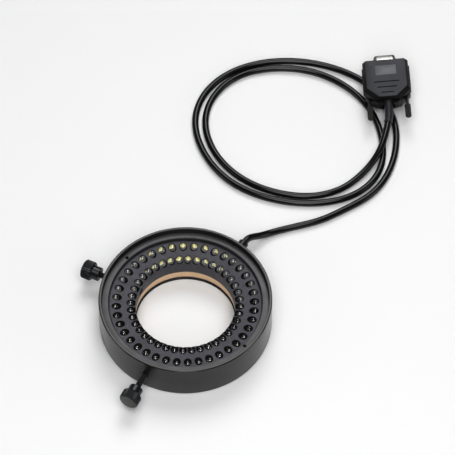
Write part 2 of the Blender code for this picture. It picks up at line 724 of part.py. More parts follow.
def build_gland():
    """Cable gland through the housing wall, its nut inside and the short lead to the board."""
    frame = add_frame("gland_frame", radial_frame(GLAND_ANGLE, GLAND_HEIGHT))
    wall_outside = HOUSING_RADIUS + FIT_GAP
    end = HOUSING_RADIUS + GLAND_LENGTH
    stub_end = BODY_BORE_RADIUS - GLAND_STUB_REACH
    gland = turned_mesh("cable_gland", [
        (0, end),
        (GLAND_TIP_RADIUS - GLAND_CHAMFER, end),
        (GLAND_TIP_RADIUS, end - GLAND_CHAMFER),
        (GLAND_ROOT_RADIUS, wall_outside + GLAND_CHAMFER),
        (GLAND_ROOT_RADIUS, wall_outside),
        (GLAND_STUB_RADIUS, wall_outside),
        (GLAND_STUB_RADIUS, stub_end),
        (0, stub_end),
    ], CLAMP_SIDES)
    add_piece("cable_gland", gland, "rubber", frame)
    bore = GLAND_STUB_RADIUS + FIT_GAP
    nut_top = BODY_BORE_RADIUS - FIT_GAP - FIT_GAP
    nut = turned_mesh("gland_nut", [
        (bore + GLAND_NUT_WALL, nut_top),
        (bore + GLAND_NUT_WALL, nut_top - GLAND_NUT_THICKNESS),
        (bore, nut_top - GLAND_NUT_THICKNESS),
        (bore, nut_top),
    ], CLAMP_SIDES, True)
    add_piece("gland_nut", nut, "black_steel", frame)
    low = HEADER_CIRCLE_RADIUS + HEADER_DEPTH / 2 + FIT_GAP
    lead = rod_mesh("inner_lead", INNER_LEAD_RADIUS, low, stub_end - FIT_GAP, LAMP_SIDES)
    add_piece("inner_lead", lead, "cable_black", frame)


# Clamping screws

def fluted(mesh, smallest):
    """Press shallow flutes into the outer surface: every second point is drawn in."""
    step = math.pi / KNOB_FLUTES
    for vertex in mesh.vertices:
        radius = math.hypot(vertex.co.x, vertex.co.y)
        turn = round(math.atan2(vertex.co.y, vertex.co.x) / step)
        if radius > smallest and turn % 2:
            share = (radius - KNOB_FLUTE_DEPTH) / radius
            vertex.co.x *= share
            vertex.co.y *= share
    return mesh


def build_clamp(side, angle, rest):
    """Knob, threaded shank and swivelling pad on one radial axis, the frame at the neck's foot."""
    frame = add_frame("clamp_frame_" + side, radial_frame(angle, CLAMP_HEIGHT, rest))
    head_start = KNOB_NECK_LENGTH
    head_end = head_start + KNOB_HEAD_LENGTH
    bore = SHANK_RADIUS + FIT_GAP
    knob = turned_mesh("clamp_knob", [
        (0, head_end),
        (KNOB_HEAD_RADIUS - KNOB_CHAMFER, head_end),
        (KNOB_HEAD_RADIUS, head_end - KNOB_CHAMFER),
        (KNOB_HEAD_RADIUS, head_start + KNOB_CHAMFER),
        (KNOB_HEAD_RADIUS - KNOB_CHAMFER, head_start),
        (KNOB_NECK_RADIUS, head_start),
        (KNOB_NECK_RADIUS, 0),
        (bore, 0),
        (bore, KNOB_BORE_DEPTH),
        (0, KNOB_BORE_DEPTH),
    ], 2 * KNOB_FLUTES)
    knob = fluted(knob, KNOB_HEAD_RADIUS - KNOB_CHAMFER / 2)
    add_piece("clamp_knob_" + side, knob, "knob_black", frame)
    pad_end = -CLAMP_REACH
    pad_back = pad_end + PAD_THICKNESS
    shank_end = pad_back + FIT_GAP
    socket = PAD_PEG_RADIUS + FIT_GAP
    socket_end = pad_back + PAD_PEG_LENGTH + FIT_GAP
    shank = turned_mesh("clamp_shank", [
        (0, KNOB_BORE_DEPTH - FIT_GAP),
        (SHANK_RADIUS, KNOB_BORE_DEPTH - FIT_GAP),
        (SHANK_RADIUS, shank_end),
        (socket, shank_end),
        (socket, socket_end),
        (0, socket_end),
    ], CLAMP_SIDES)
    add_piece("clamp_shank_" + side, shank, "black_steel", frame)
    pad = turned_mesh("clamp_pad", [
        (0, pad_back + PAD_PEG_LENGTH),
        (PAD_PEG_RADIUS, pad_back + PAD_PEG_LENGTH),
        (PAD_PEG_RADIUS, pad_back),
        (SHANK_RADIUS, pad_back),
        (SHANK_RADIUS, pad_end + PAD_CHAMFER),
        (SHANK_RADIUS - PAD_CHAMFER, pad_end),
        (0, pad_end),
    ], CLAMP_SIDES)
    add_piece("clamp_pad_" + side, pad, "nylon", frame)


# Cable

def smooth_path(points, count):
    """Read evenly spaced points from the natural cubic curve through the given ones.

    The curve's second derivatives at the points solve the usual three-term equations, with the
    straight distances between the points as the steps of its parameter.
    """
    places = np.array(points, dtype=float)
    steps = np.linalg.norm(np.diff(places, axis=0), axis=1)
    knots = np.concatenate(([0], np.cumsum(steps)))
    size = len(places)
    system = np.eye(size)
    right = np.zeros_like(places)
    for i in range(1, size - 1):
        system[i, i - 1] = steps[i - 1]
        system[i, i] = 2 * (steps[i - 1] + steps[i])
        system[i, i + 1] = steps[i]
        slopes = (places[i + 1] - places[i]) / steps[i] - (places[i] - places[i - 1]) / steps[i - 1]
        right[i] = 6 * slopes
    second = np.linalg.solve(system, right)

    def curve_at(values):
        """Points of the cubic pieces at the parameter values."""
        left = np.clip(np.searchsorted(knots, values, side="right") - 1, 0, size - 2)
        span = steps[left][:, None]
        after = (values - knots[left])[:, None] / span
        before = 1 - after
        bent = (before ** 3 - before) * second[left] + (after ** 3 - after) * second[left + 1]
        return before * places[left] + after * places[left + 1] + bent * span ** 2 / 6

    fine = curve_at(np.linspace(0, knots[-1], SAMPLES_PER_POINT * size))
    lengths = np.concatenate(([0], np.cumsum(np.linalg.norm(np.diff(fine, axis=0), axis=1))))
    even = np.linspace(0, lengths[-1], count)
    return np.stack([np.interp(even, lengths, fine[:, axis]) for axis in range(3)], axis=1)


def cable_points():
    """The cable's centre line: straight out of the gland, then along the route to the boot."""
    start = HOUSING_RADIUS + GLAND_LENGTH + FIT_GAP
    leaving = [polar(start + run, GLAND_ANGLE, GLAND_HEIGHT) for run in (0, CABLE_STRAIGHT)]
    points = smooth_path(leaving + list(CABLE_ROUTE), CABLE_STEPS)
    end = np.array(CABLE_ROUTE[-1])
    last = end - CABLE_STRAIGHT * np.array(boot_direction())
    points = np.concatenate((points[:1], leaving[1:], points[1:-1], [last, end]))
    points[:, 2] = np.maximum(points[:, 2], CABLE_RADIUS)
    return points


def boot_direction():
    """Direction in which the cable runs into the boot."""
    return (Vector(CABLE_ROUTE[-1]) - Vector(CABLE_ROUTE[-2])).normalized()


def build_cable():
    """The free cable, as one tube."""
    points = cable_points()
    print("cable length in metres", np.linalg.norm(np.diff(points, axis=0), axis=1).sum())
    print("least gap between its turns in metres", least_gap(points))
    add_piece("cable", tube_curve("cable", points, CABLE_RADIUS), "cable_black")


def least_gap(points):
    """Least free distance between stretches of the cable that aren't neighbours along it."""
    fine = smooth_path(points, GAP_SAMPLES_PER_STEP * len(points))
    run = np.concatenate(([0], np.cumsum(np.linalg.norm(np.diff(fine, axis=0), axis=1))))
    apart = np.linalg.norm(fine[:, None] - fine[None], axis=2)
    apart[np.abs(run[:, None] - run[None]) < GAP_LEAST_RUN] = np.inf
    return apart.min() - 2 * CABLE_RADIUS


# Connector

def connector_matrix():
    """Frame of the connector: Y forward to its mate, Z up, its middle on the front face."""
    yaw = Matrix.Rotation(math.radians(CONNECTOR_YAW), 4, "Z")
    roll = Matrix.Rotation(math.radians(-CONNECTOR_ROLL), 4, "Y")
    return Matrix.Translation(CONNECTOR_PLACE) @ yaw @ roll


def mirrored(outline):
    """Close a half outline, given from front to back at +X, with its mirror image."""
    return outline + [(-across, along) for across, along in reversed(outline) if across]


def cornered_outline(half_width, length, corner):
    """A rectangle behind the front face with its rear corners cut off."""
    return mirrored([(half_width, 0), (half_width, corner - length), (half_width - corner, -length)])


def flange_outline(spare):
    """Outline of the connector's flange in width and height, grown by a spare distance all round."""
    across = FLANGE_HALF_WIDTH + spare
    up = FLANGE_HALF_HEIGHT + spare
    return mirrored([(across - FLANGE_CORNER, up), (across, up - FLANGE_CORNER),
                     (across, FLANGE_CORNER - up), (across - FLANGE_CORNER, -up)])


def hood_ledge_outline():
    """Outline of the lower ledge, which goes on behind as an arc round the boot."""
    first = math.acos((HOOD_LENGTH - HOOD_CORNER / 2 - LEDGE_CENTRE) / LEDGE_RADIUS)
    turns = [first * (1 - step / LEDGE_ARC_STEPS) for step in range(LEDGE_ARC_STEPS + 1)]
    arc = [(LEDGE_RADIUS * math.sin(turn), -LEDGE_CENTRE - LEDGE_RADIUS * math.cos(turn)) for turn in turns]
    return mirrored([(arc[0][0], -LEDGE_CENTRE / 2)] + arc)


def shell_outline(inset):
    """D-shaped outline, its narrow side up, drawn in from the shell's outside by an inset."""
    lean = math.tan(math.radians(SHELL_SIDE_ANGLE))
    half_height = SHELL_HALF_HEIGHT - inset
    wide = SHELL_HALF_WIDTH - inset * (lean + math.hypot(1, lean))
    narrow = wide - 2 * half_height * lean
    corner = SHELL_CORNER - inset
    half = [
        (narrow - corner, half_height),
        (narrow + corner * lean, half_height - corner),
        (wide - corner * lean, corner - half_height),
        (wide - corner, -half_height),
    ]
    return mirrored(half)


def tapered_mesh(name, outline, low, middle, top_outline, top):
    """Slab of an outline, with its top face extruded on to another outline of as many points."""
    mesh = slab_mesh(name, outline, low, middle)
    work = bmesh.new()
    work.from_mesh(mesh)
    caps = [face for face in work.faces
            if all(abs(vertex.co.z - middle) < MERGE_DISTANCE for vertex in face.verts)]
    raised = bmesh.ops.extrude_face_region(work, geom=caps)
    for vertex in (item for item in raised["geom"] if isinstance(item, bmesh.types.BMVert)):
        reach = [(vertex.co.xy - Vector(place)).length for place in outline]
        vertex.co = (*top_outline[reach.index(min(reach))], top)
    bmesh.ops.delete(work, geom=caps, context="FACES")
    work.to_mesh(mesh)
    work.free()
    return mesh


def jack_channel_meshes():
    """Channel and clip pocket of one jackscrew, along its own axis."""
    channel = rod_mesh("jack_channel", JACK_RADIUS + FIT_GAP, -JACK_END, CUT_OVERRUN, JACK_SIDES)
    pocket = rod_mesh("jack_pocket", CLIP_RADIUS + FIT_GAP, -POCKET_BACK, pocket_length() - POCKET_BACK,
                      JACK_SIDES)
    return channel, pocket


def clip_pack_length():
    """Length of a jackscrew's two collars with the clip between them."""
    return 2 * JACK_COLLAR_LENGTH + CLIP_THICKNESS + 2 * FIT_GAP


def pocket_length():
    """Length of the pocket that lets the clip float."""
    return clip_pack_length() + JACK_TRAVEL + 2 * FIT_GAP


def jack_matrix(side):
    """A frame on a jackscrew's axis in the connector, its Z axis forward."""
    place = Matrix.Translation((side * JACK_SPACING / 2, 0, 0))
    return place @ Matrix.Rotation(math.radians(-90), 4, "X")


def hood_cutters(frame):
    """Shapes that hollow both hood shells."""
    slot_front = -FRONT_LIP
    slot_back = slot_front - FLANGE_THICKNESS - 2 * FIT_GAP
    slot = facing_slab_mesh("flange_slot", flange_outline(FIT_GAP), slot_back, slot_front)
    window = facing_slab_mesh("shell_window", shell_outline(-FIT_GAP), slot_back, CUT_OVERRUN)
    cavity_half_height = HOOD_HALF_HEIGHT - HOOD_WALL
    cavity = box_mesh("hood_cavity", (-HOOD_CAVITY_HALF_WIDTH, -BOOT_START - BOOT_FLANGE_LENGTH - FIT_GAP,
                                      -cavity_half_height),
                      (HOOD_CAVITY_HALF_WIDTH, slot_front - FLANGE_THICKNESS, cavity_half_height))
    bore = rod_mesh("boot_bore", BOOT_ROOT_RADIUS + BOOT_BORE_CLEARANCE,
                    -LEDGE_CENTRE - LEDGE_RADIUS - CUT_OVERRUN, -BOOT_START, JACK_SIDES)
    along = Matrix.Rotation(math.radians(-90), 4, "X")
    cutters = [
        add_cutter("flange_slot", slot, frame),
        add_cutter("shell_window", window, frame),
        add_cutter("hood_cavity", cavity, frame),
        add_cutter("boot_bore", bore, frame, along),
    ]
    for number, mesh in enumerate(jack_channel_meshes()):
        pair = many_copies("jack_cut_%d" % number, mesh, [jack_matrix(-1), jack_matrix(1)])
        cutters.append(add_cutter("jack_cut_%d" % number, pair, frame))
    return cutters


def grip_mesh(name, low):
    """Toothed pads that stand out of both sides of a hood shell."""
    pitch = GRIP_LENGTH / GRIP_NOTCHES
    outer = HOOD_HALF_WIDTH + GRIP_STAND
    steps = []
    for tooth in range(GRIP_NOTCHES):
        front = -GRIP_START - tooth * pitch
        back = front - pitch * (1 - GRIP_NOTCH_SHARE)
        steps += [(outer, front), (outer, back)]
        if tooth < GRIP_NOTCHES - 1:
            steps += [(outer - GRIP_STAND / 2, back), (outer - GRIP_STAND / 2, front - pitch)]
    inside = HOOD_HALF_WIDTH - GRIP_STAND
    outline = [(inside, -GRIP_START)] + steps + [(inside, steps[-1][1])]
    pad = slab_mesh(name, outline, low, GRIP_HALF_HEIGHT)
    flipped = pad.copy()
    flipped.transform(Matrix.Scale(-1, 4, (1, 0, 0)))
    flipped.flip_normals()
    both = many_copies(name, pad, [Matrix()])
    work = bmesh.new()
    work.from_mesh(both)
    work.from_mesh(flipped)
    work.to_mesh(both)
    work.free()
    return both


def boss_places():
    """Frames of the two hood screws, upright in the connector's frame."""
    return [Matrix.Translation((side * HOOD_BOSS_ACROSS, -HOOD_BOSS_BACK, 0)) for side in (-1, 1)]


def hood_half(name, frame, cutters, flip):
    """One shell of the hood, modelled as the upper one and turned over for the lower one."""
    over = Matrix.Rotation(math.radians(180), 4, "Y") if flip else Matrix()
    body = cornered_outline(HOOD_HALF_WIDTH, HOOD_LENGTH, HOOD_CORNER)
    plateau = cornered_outline(PLATEAU_HALF_WIDTH, PLATEAU_LENGTH, PLATEAU_CORNER)
    top = tapered_mesh(name + "_top", body, -CUT_OVERRUN, HOOD_HALF_HEIGHT - SHOULDER_HEIGHT, plateau,
                       HOOD_HALF_HEIGHT)
    top.transform(over)
    half = add_piece(name, top, "hood_grey", frame)
    ledge = slab_mesh(name + "_ledge", hood_ledge_outline(), -LEDGE_OVERRUN, LEDGE_HEIGHT)
    unite(half, add_cutter(name + "_ledge", ledge, frame, over))
    grips = grip_mesh(name + "_grips", -GRIP_OVERRUN)
    unite(half, add_cutter(name + "_grips", grips, frame, over))
    cut(half, *cutters)
    boss = rod_mesh("boss", HOOD_BOSS_RADIUS, -BOSS_OVERRUN, HOOD_HALF_HEIGHT - HOOD_WALL / 2,
                    LAMP_SIDES)
    unite(half, add_cutter(name + "_bosses", many_copies("bosses", boss, boss_places()), frame, over))
    reach = HOOD_LENGTH + HOOD_LENGTH
    parting = box_mesh(name + "_parting", (-reach, -reach, -reach), (reach, reach, FIT_GAP / 2))
    cut(half, add_cutter(name + "_parting", parting, frame, over))
    return half


def build_hood(frame):
    """Both hood shells, the blank label plate and the two screws that hold the shells."""
    cutters = hood_cutters(frame)
    upper = hood_half("hood_upper", frame, cutters, False)
    lower = hood_half("hood_lower", frame, cutters, True)
    recess_depth = LABEL_THICKNESS + FIT_GAP
    half_label = LABEL_LENGTH / 2
    label_end = -LABEL_BACK - LABEL_DEPTH
    recess = box_mesh("label_recess",
                      (-half_label - FIT_GAP, label_end - FIT_GAP, HOOD_HALF_HEIGHT - recess_depth),
                      (half_label + FIT_GAP, FIT_GAP - LABEL_BACK, HOOD_HALF_HEIGHT + CUT_OVERRUN))
    cut(upper, add_cutter("label_recess", recess, frame))
    label = box_mesh("label_plate", (-half_label, label_end, HOOD_HALF_HEIGHT - LABEL_THICKNESS),
                     (half_label, -LABEL_BACK, HOOD_HALF_HEIGHT))
    add_piece("label_plate", label, "label_grey", frame)
    for number, length in enumerate(GROOVE_LENGTHS):
        front = -GROOVE_START - number * GROOVE_PITCH
        groove = box_mesh("groove_%d" % number,
                          (-length / 2, front - GROOVE_WIDTH, HOOD_HALF_HEIGHT - GROOVE_DEPTH),
                          (length / 2, front, HOOD_HALF_HEIGHT + CUT_OVERRUN))
        cut(upper, add_cutter("groove_%d" % number, groove, frame))
    add_hood_screws(frame, upper, lower)


def add_hood_screws(frame, upper, lower):
    """Screws up through the lower shell's counterbores into the upper shell's bosses."""
    head_bottom = FIT_GAP - HOOD_HALF_HEIGHT
    head_top = head_bottom + HOOD_SCREW_HEAD_HEIGHT
    bore = rod_mesh("hood_screw_bore", HOOD_SCREW_RADIUS + FIT_GAP, -HOOD_HALF_HEIGHT,
                    HOOD_SCREW_REACH + FIT_GAP, LAMP_SIDES)
    sink = rod_mesh("hood_screw_sink", HOOD_SCREW_HEAD_RADIUS + FIT_GAP, -HOOD_HALF_HEIGHT - CUT_OVERRUN,
                    head_top + FIT_GAP, LAMP_SIDES)
    bores = add_cutter("hood_screw_bores", many_copies("bores", bore, boss_places()), frame)
    sinks = add_cutter("hood_screw_sinks", many_copies("sinks", sink, boss_places()), frame)
    cut(upper, bores)
    cut(lower, bores, sinks)
    for number, place in enumerate(boss_places(), 1):
        screw = turned_mesh("hood_screw", [
            (0, HOOD_SCREW_REACH),
            (HOOD_SCREW_RADIUS, HOOD_SCREW_REACH),
            (HOOD_SCREW_RADIUS, head_top),
            (HOOD_SCREW_HEAD_RADIUS, head_top),
            (HOOD_SCREW_HEAD_RADIUS, head_bottom),
            (0, head_bottom),
        ], LAMP_SIDES)
        add_piece("hood_screw_%d" % number, screw, "steel", frame, place)


def build_shell(frame):
    """Metal flange with the D-shaped tube that the mating plug goes round."""
    front = -FRONT_LIP - FIT_GAP
    back = front - FLANGE_THICKNESS
    flange = facing_slab_mesh("connector_shell", flange_outline(0), back, front)
    shell = add_piece("connector_shell", flange, "tin", frame)
    tube = facing_slab_mesh("shell_tube", shell_outline(0), back, front + SHELL_REACH)
    unite(shell, add_cutter("shell_tube", tube, frame))
    inside = facing_slab_mesh("shell_inside", shell_outline(SHELL_WALL), back - CUT_OVERRUN,
                              front + SHELL_REACH + CUT_OVERRUN)
    cut(shell, add_cutter("shell_inside", inside, frame))
    hole = rod_mesh("jack_hole", JACK_RADIUS + FIT_GAP, back - CUT_OVERRUN, front + CUT_OVERRUN, JACK_SIDES)
    holes = many_copies("jack_holes", hole, [jack_matrix(-1), jack_matrix(1)])
    cut(shell, add_cutter("jack_holes", holes, frame))


def contact_places():
    """Across and up of the nine contacts: five on the wide side, four on the narrow side."""
    low = [((k - 2) * CONTACT_PITCH, -CONTACT_ROW_SPACING / 2) for k in range(5)]
    high = [((k - 1) * CONTACT_PITCH - CONTACT_PITCH / 2, CONTACT_ROW_SPACING / 2) for k in range(4)]
    return low + high


def build_contacts(frame):
    """Insulator with nine holes and the nine contacts in them."""
    flange_front = -FRONT_LIP - FIT_GAP
    flange_back = flange_front - FLANGE_THICKNESS
    face = flange_front + SHELL_REACH - INSULATOR_RECESS
    back = flange_back - INSULATOR_LENGTH
    core = facing_slab_mesh("connector_insulator", shell_outline(SHELL_WALL + FIT_GAP), back, face)
    insulator = add_piece("connector_insulator", core, "insulator", frame)
    collar_front = flange_back - FIT_GAP
    collar = facing_slab_mesh("insulator_collar", shell_outline(0), collar_front - INSULATOR_COLLAR,
                              collar_front)
    unite(insulator, add_cutter("insulator_collar", collar, frame))
    forward = Matrix.Rotation(math.radians(-90), 4, "X")
    hole = rod_mesh("contact_hole", CONTACT_RADIUS + FIT_GAP, back - CUT_OVERRUN, face + CUT_OVERRUN,
                    CONTACT_SIDES)
    places = [Matrix.Translation((across, 0, up)) @ forward for across, up in contact_places()]
    cut(insulator, add_cutter("contact_holes", many_copies("contact_holes", hole, places), frame))
    for number, place in enumerate(places, 1):
        rod = rod_mesh("contact", CONTACT_RADIUS, back - CONTACT_TAIL, face - CONTACT_RECESS, CONTACT_SIDES)
        add_piece("contact_%d" % number, rod, "gold", frame, place)
    return back - CONTACT_TAIL


def build_jackscrew(side_name, side, connector):
    """Jackscrew with a knurled tail, drawn back as far as it goes, and its retaining clip."""
    frame = add_frame("jack_frame_" + side_name, connector.matrix_local @ jack_matrix(side))
    first = -POCKET_BACK + FIT_GAP + clip_pack_length()
    groove_front = first - JACK_COLLAR_LENGTH
    groove_back = groove_front - CLIP_THICKNESS - 2 * FIT_GAP
    last = groove_back - JACK_COLLAR_LENGTH
    tail_start = JACK_TAIL_LENGTH - JACK_END
    screw = turned_mesh("jackscrew", [
        (0, -JACK_SETBACK),
        (JACK_RADIUS - JACK_CHAMFER, -JACK_SETBACK),
        (JACK_RADIUS, -JACK_SETBACK - JACK_CHAMFER),
        (JACK_RADIUS, first),
        (JACK_COLLAR_RADIUS, first),
        (JACK_COLLAR_RADIUS, groove_front),
        (JACK_RADIUS, groove_front),
        (JACK_RADIUS, groove_back),
        (JACK_COLLAR_RADIUS, groove_back),
        (JACK_COLLAR_RADIUS, last),
        (JACK_NECK_RADIUS, last),
        (JACK_NECK_RADIUS, tail_start),
        (JACK_TAIL_RADIUS - JACK_CHAMFER, tail_start),
        (JACK_TAIL_RADIUS, tail_start - JACK_CHAMFER),
        (JACK_TAIL_RADIUS, JACK_CHAMFER - JACK_END),
        (JACK_TAIL_RADIUS - JACK_CHAMFER, -JACK_END),
        (0, -JACK_END),
    ], JACK_SIDES)
    add_piece("jackscrew_" + side_name, screw, "black_steel", frame)
    bore = JACK_RADIUS + FIT_GAP
    clip_front = groove_front - FIT_GAP
    clip_back = clip_front - CLIP_THICKNESS
    clip = turned_mesh("jack_clip", [
        (CLIP_RADIUS, clip_front),
        (CLIP_RADIUS, clip_back),
        (bore, clip_back),
        (bore, clip_front),
    ], JACK_SIDES, True)
    ring = add_piece("jack_clip_" + side_name, clip, "steel", frame)
    mouth = box_mesh("clip_mouth", (-CLIP_MOUTH / 2, 0, clip_back - CUT_OVERRUN),
                     (CLIP_MOUTH / 2, CLIP_RADIUS + CUT_OVERRUN, clip_front + CUT_OVERRUN))
    cut(ring, add_cutter("clip_mouth_" + side_name, mouth, frame))


def build_boot(connector):
    """Moulded boot: a flange inside the hood, then a taper that bends down to the cable's end."""
    place = connector.matrix_local
    towards = boot_direction()
    end = Vector(CABLE_ROUTE[-1]) + towards * FIT_GAP
    flange_end = BOOT_START + BOOT_FLANGE_LENGTH
    guides = [place @ Vector((0, -flange_end - run, 0)) for run in (FIT_GAP + FIT_GAP, BOOT_FLANGE_LENGTH)]
    guides += [end + towards * BOOT_TIP_RADIUS, end]
    taper = [Vector(point) for point in smooth_path(guides, BOOT_STEPS)]
    radii = [BOOT_FLANGE_RADIUS, BOOT_FLANGE_RADIUS, BOOT_ROOT_RADIUS]
    points = [place @ Vector((0, -run, 0)) for run in (BOOT_START, flange_end, flange_end + FIT_GAP)]
    for step, point in enumerate(taper):
        share = step / (BOOT_STEPS - 1)
        points.append(point)
        radii.append(BOOT_ROOT_RADIUS + share * (BOOT_TIP_RADIUS - BOOT_ROOT_RADIUS))
    shares = [radius / BOOT_ROOT_RADIUS for radius in radii]
    add_piece("connector_boot", tube_curve("connector_boot", points, BOOT_ROOT_RADIUS, shares), "rubber")


def saddle_outline():
    """Arch over the lead with a flat foot at each side, drawn in width and height."""
    inner = CABLE_RADIUS + FIT_GAP
    outer = inner + SADDLE_THICKNESS
    turns = [math.pi * step / SADDLE_ARC_STEPS for step in range(SADDLE_ARC_STEPS + 1)]
    over = [(outer * math.cos(turn), outer * math.sin(turn)) for turn in turns]
    under = [(inner * math.cos(turn), inner * math.sin(turn)) for turn in reversed(turns)]
    foot = -SADDLE_THICKNESS
    left_foot = [(-SADDLE_HALF_WIDTH, 0), (-SADDLE_HALF_WIDTH, foot), (-inner, foot)]
    right_foot = [(inner, foot), (SADDLE_HALF_WIDTH, foot), (SADDLE_HALF_WIDTH, 0)]
    return over + left_foot + under + right_foot


def build_hood_inside(frame, contact_back):
    """Lead inside the hood, the saddle that grips it and two of its conductors."""
    lead_back = -BOOT_START + FIT_GAP
    along = Matrix.Rotation(math.radians(-90), 4, "X")
    lead = rod_mesh("hood_lead", CABLE_RADIUS, lead_back, -HOOD_LEAD_END, LAMP_SIDES)
    add_piece("hood_lead", lead, "cable_black", frame, along)
    saddle = facing_slab_mesh("cable_saddle", saddle_outline(), -SADDLE_BACK, SADDLE_LENGTH - SADDLE_BACK)
    add_piece("cable_saddle", saddle, "steel", frame)
    places = contact_places()
    for name, index, side, finish in (("red", 1, -1, "copper_wire"), ("black", 3, 1, "cable_black")):
        across, up = places[index]
        start = Vector((side * CONDUCTOR_BEND, -HOOD_LEAD_END + FIT_GAP, 0))
        end = Vector((across, contact_back - FIT_GAP, up))
        ahead = Vector((0, CONDUCTOR_BEND, 0))
        points = smooth_path([start, start + ahead, end - ahead, end], CONDUCTOR_STEPS)
        curve = tube_curve("conductor_" + name, points, CONDUCTOR_RADIUS, None, 1)
        add_piece("conductor_" + name, curve, finish, frame)


def build_connector():
    """The whole connector in its own frame."""
    frame = add_frame("connector_frame", connector_matrix())
    build_hood(frame)
    build_shell(frame)
    contact_back = build_contacts(frame)
    build_hood_inside(frame, contact_back)
    build_jackscrew("left", -1, frame)
    build_jackscrew("right", 1, frame)
    build_boot(frame)


def main():
    """Build every piece of the ring light."""
    bores = clamp_bore_cutters()
    build_housing(bores)
    build_lamp_plate(bores)
    build_lamp_row("outer_led_strip", OUTER_ROW_RADIUS, LAMP_PHASE, bores)
    build_lamp_row("inner_led_strip", INNER_ROW_RADIUS, INNER_PHASE, bores)
    build_retainer()
    build_liner()
    build_board()
    build_row_wire("outer_row_wire", OUTER_ROW_RADIUS, ROW_WIRE_ANGLE)
    build_row_wire("inner_row_wire", INNER_ROW_RADIUS, ROW_WIRE_ANGLE)
    build_gland()
    build_clamp("left", LEFT_CLAMP_ANGLE, LEFT_CLAMP_REST)
    build_clamp("front", FRONT_CLAMP_ANGLE, FRONT_CLAMP_REST)
    build_cable()
    build_connector()
    bpy.context.view_layer.update()


clear_scene()
PARTS = new_collection("microscope_ring_light")
CUTTERS = new_collection("cutters")
main()
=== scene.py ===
"""Looks of a microscope ring light with its cable and nine-way connector.

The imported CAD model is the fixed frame: each new piece is worked out in the same metres, stands where
its CAD node stands and rides on the same body.  The file is laid out as an add-on and run as a script.
"""

import math
from functools import cache

import bmesh
import bpy
import numpy as np
from bpy.props import FloatProperty, FloatVectorProperty, IntProperty, PointerProperty
from mathutils import Matrix, Vector


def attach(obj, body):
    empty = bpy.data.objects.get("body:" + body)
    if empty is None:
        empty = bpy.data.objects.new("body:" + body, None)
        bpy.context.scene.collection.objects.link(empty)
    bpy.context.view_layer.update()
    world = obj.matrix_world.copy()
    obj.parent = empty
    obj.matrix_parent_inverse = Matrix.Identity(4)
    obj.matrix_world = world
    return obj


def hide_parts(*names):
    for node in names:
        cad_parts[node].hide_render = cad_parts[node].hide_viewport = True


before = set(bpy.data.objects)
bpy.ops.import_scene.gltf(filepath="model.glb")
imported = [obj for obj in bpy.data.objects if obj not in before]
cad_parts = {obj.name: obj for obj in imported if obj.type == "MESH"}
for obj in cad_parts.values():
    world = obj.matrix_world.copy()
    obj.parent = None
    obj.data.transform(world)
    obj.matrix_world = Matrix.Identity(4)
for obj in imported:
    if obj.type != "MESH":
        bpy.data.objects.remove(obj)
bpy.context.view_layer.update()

bl_info = {
    "name": "Microscope ring light",
    "version": (1, 0, 0),
    "blender": (4, 5, 0),
    "location": "3D View > Sidebar > Ring light",
    "description": "Builds the looks of a ring light with two rows of lamps round its CAD model",
    "category": "Object",
}

# Fits: gap between pieces, overrun of a cutter and rounding of an edge
GAP = 0.0003
OVERRUN = 0.002
EDGE = 0.00015

# Making of meshes
MERGE_DISTANCE = 1e-6
LEAST_EDGE = 1e-7
LEAST_LENGTH = 1e-12
LEAST_SLOPE = 1e-6
SHARP_ANGLE = math.radians(35)
CORNER_SHARE = 0.45
SOFT_SHARE = 0.3
SAMPLES_PER_POINT = 40

# Sides of round pieces and holes
RING_SIDES = 240
STRIP_SIDES = 160
FINE_SIDES = 48
PLAIN_SIDES = 32
LAMP_HOLE_SIDES = 28
ROUND_SIDES = 24
LAMP_SIDES = 20
SMALL_SIDES = 16
LAMP_STEPS = 9
FLUTE_STEPS = 6
THREAD_STEPS = 6
KNURL_STEPS = 8

# Housing
HOUSING_RADIUS = 0.0550
HOUSING_HEIGHT = 0.0260
RIM_WALL = 0.0018
RIM_CHAMFER = 0.0005
BODY_WALL = 0.0040
FLOOR_THICKNESS = 0.0020
FLOOR_BORE_RADIUS = 0.0317
FOOT_CHAMFER = 0.0008
RIM_STAND = 0.0037
RIM_BORE_RADIUS = HOUSING_RADIUS - RIM_WALL
BODY_BORE_RADIUS = HOUSING_RADIUS - BODY_WALL
POST_RADIUS = 0.0029
POST_TOP = 0.0066
POST_CIRCLE_RADIUS = 0.0420
POST_ANGLES = (15.0, 135.0, 270.0)
POST_BORE_RADIUS = 0.00155

# Retaining ring
RETAINER_TOP = HOUSING_HEIGHT - RIM_STAND
RETAINER_BOTTOM = RETAINER_TOP - 0.0030
RETAINER_BORE_RADIUS = 0.0488
RETAINER_CHAMFER = 0.0003
SPANNER_RADIUS = 0.0011
SPANNER_DEPTH = 0.0015
SPANNER_CIRCLE_RADIUS = 0.0502
SPANNER_ANGLE = 138.3

# Lamp plate
PLATE_BORE_RADIUS = 0.0317
PLATE_FACE_RADIUS = 0.0482
LIP_TOP = RETAINER_BOTTOM - GAP
LIP_BOTTOM = LIP_TOP - 0.0014
FACE_EDGE_HEIGHT = LIP_TOP + 0.0009
PLATE_DISH = 0.0015
FACE_BORE_HEIGHT = FACE_EDGE_HEIGHT - PLATE_DISH
PLATE_THICKNESS = 0.0023
SKIRT_WALL = 0.0017

# Faces of a hole that take the painted shade: greatest slant of its wall, start of its bottom and margin
# round it
WALL_SLANT = 0.1
BOTTOM_SHARE = 0.9
HOLE_MARGIN = 1.01

# Ring under the skirt
LINER_BORE_RADIUS = 0.0322
LINER_WALL = 0.0022
LINER_BOTTOM = FLOOR_THICKNESS + GAP
LINER_TOP = LINER_BOTTOM + 0.0060

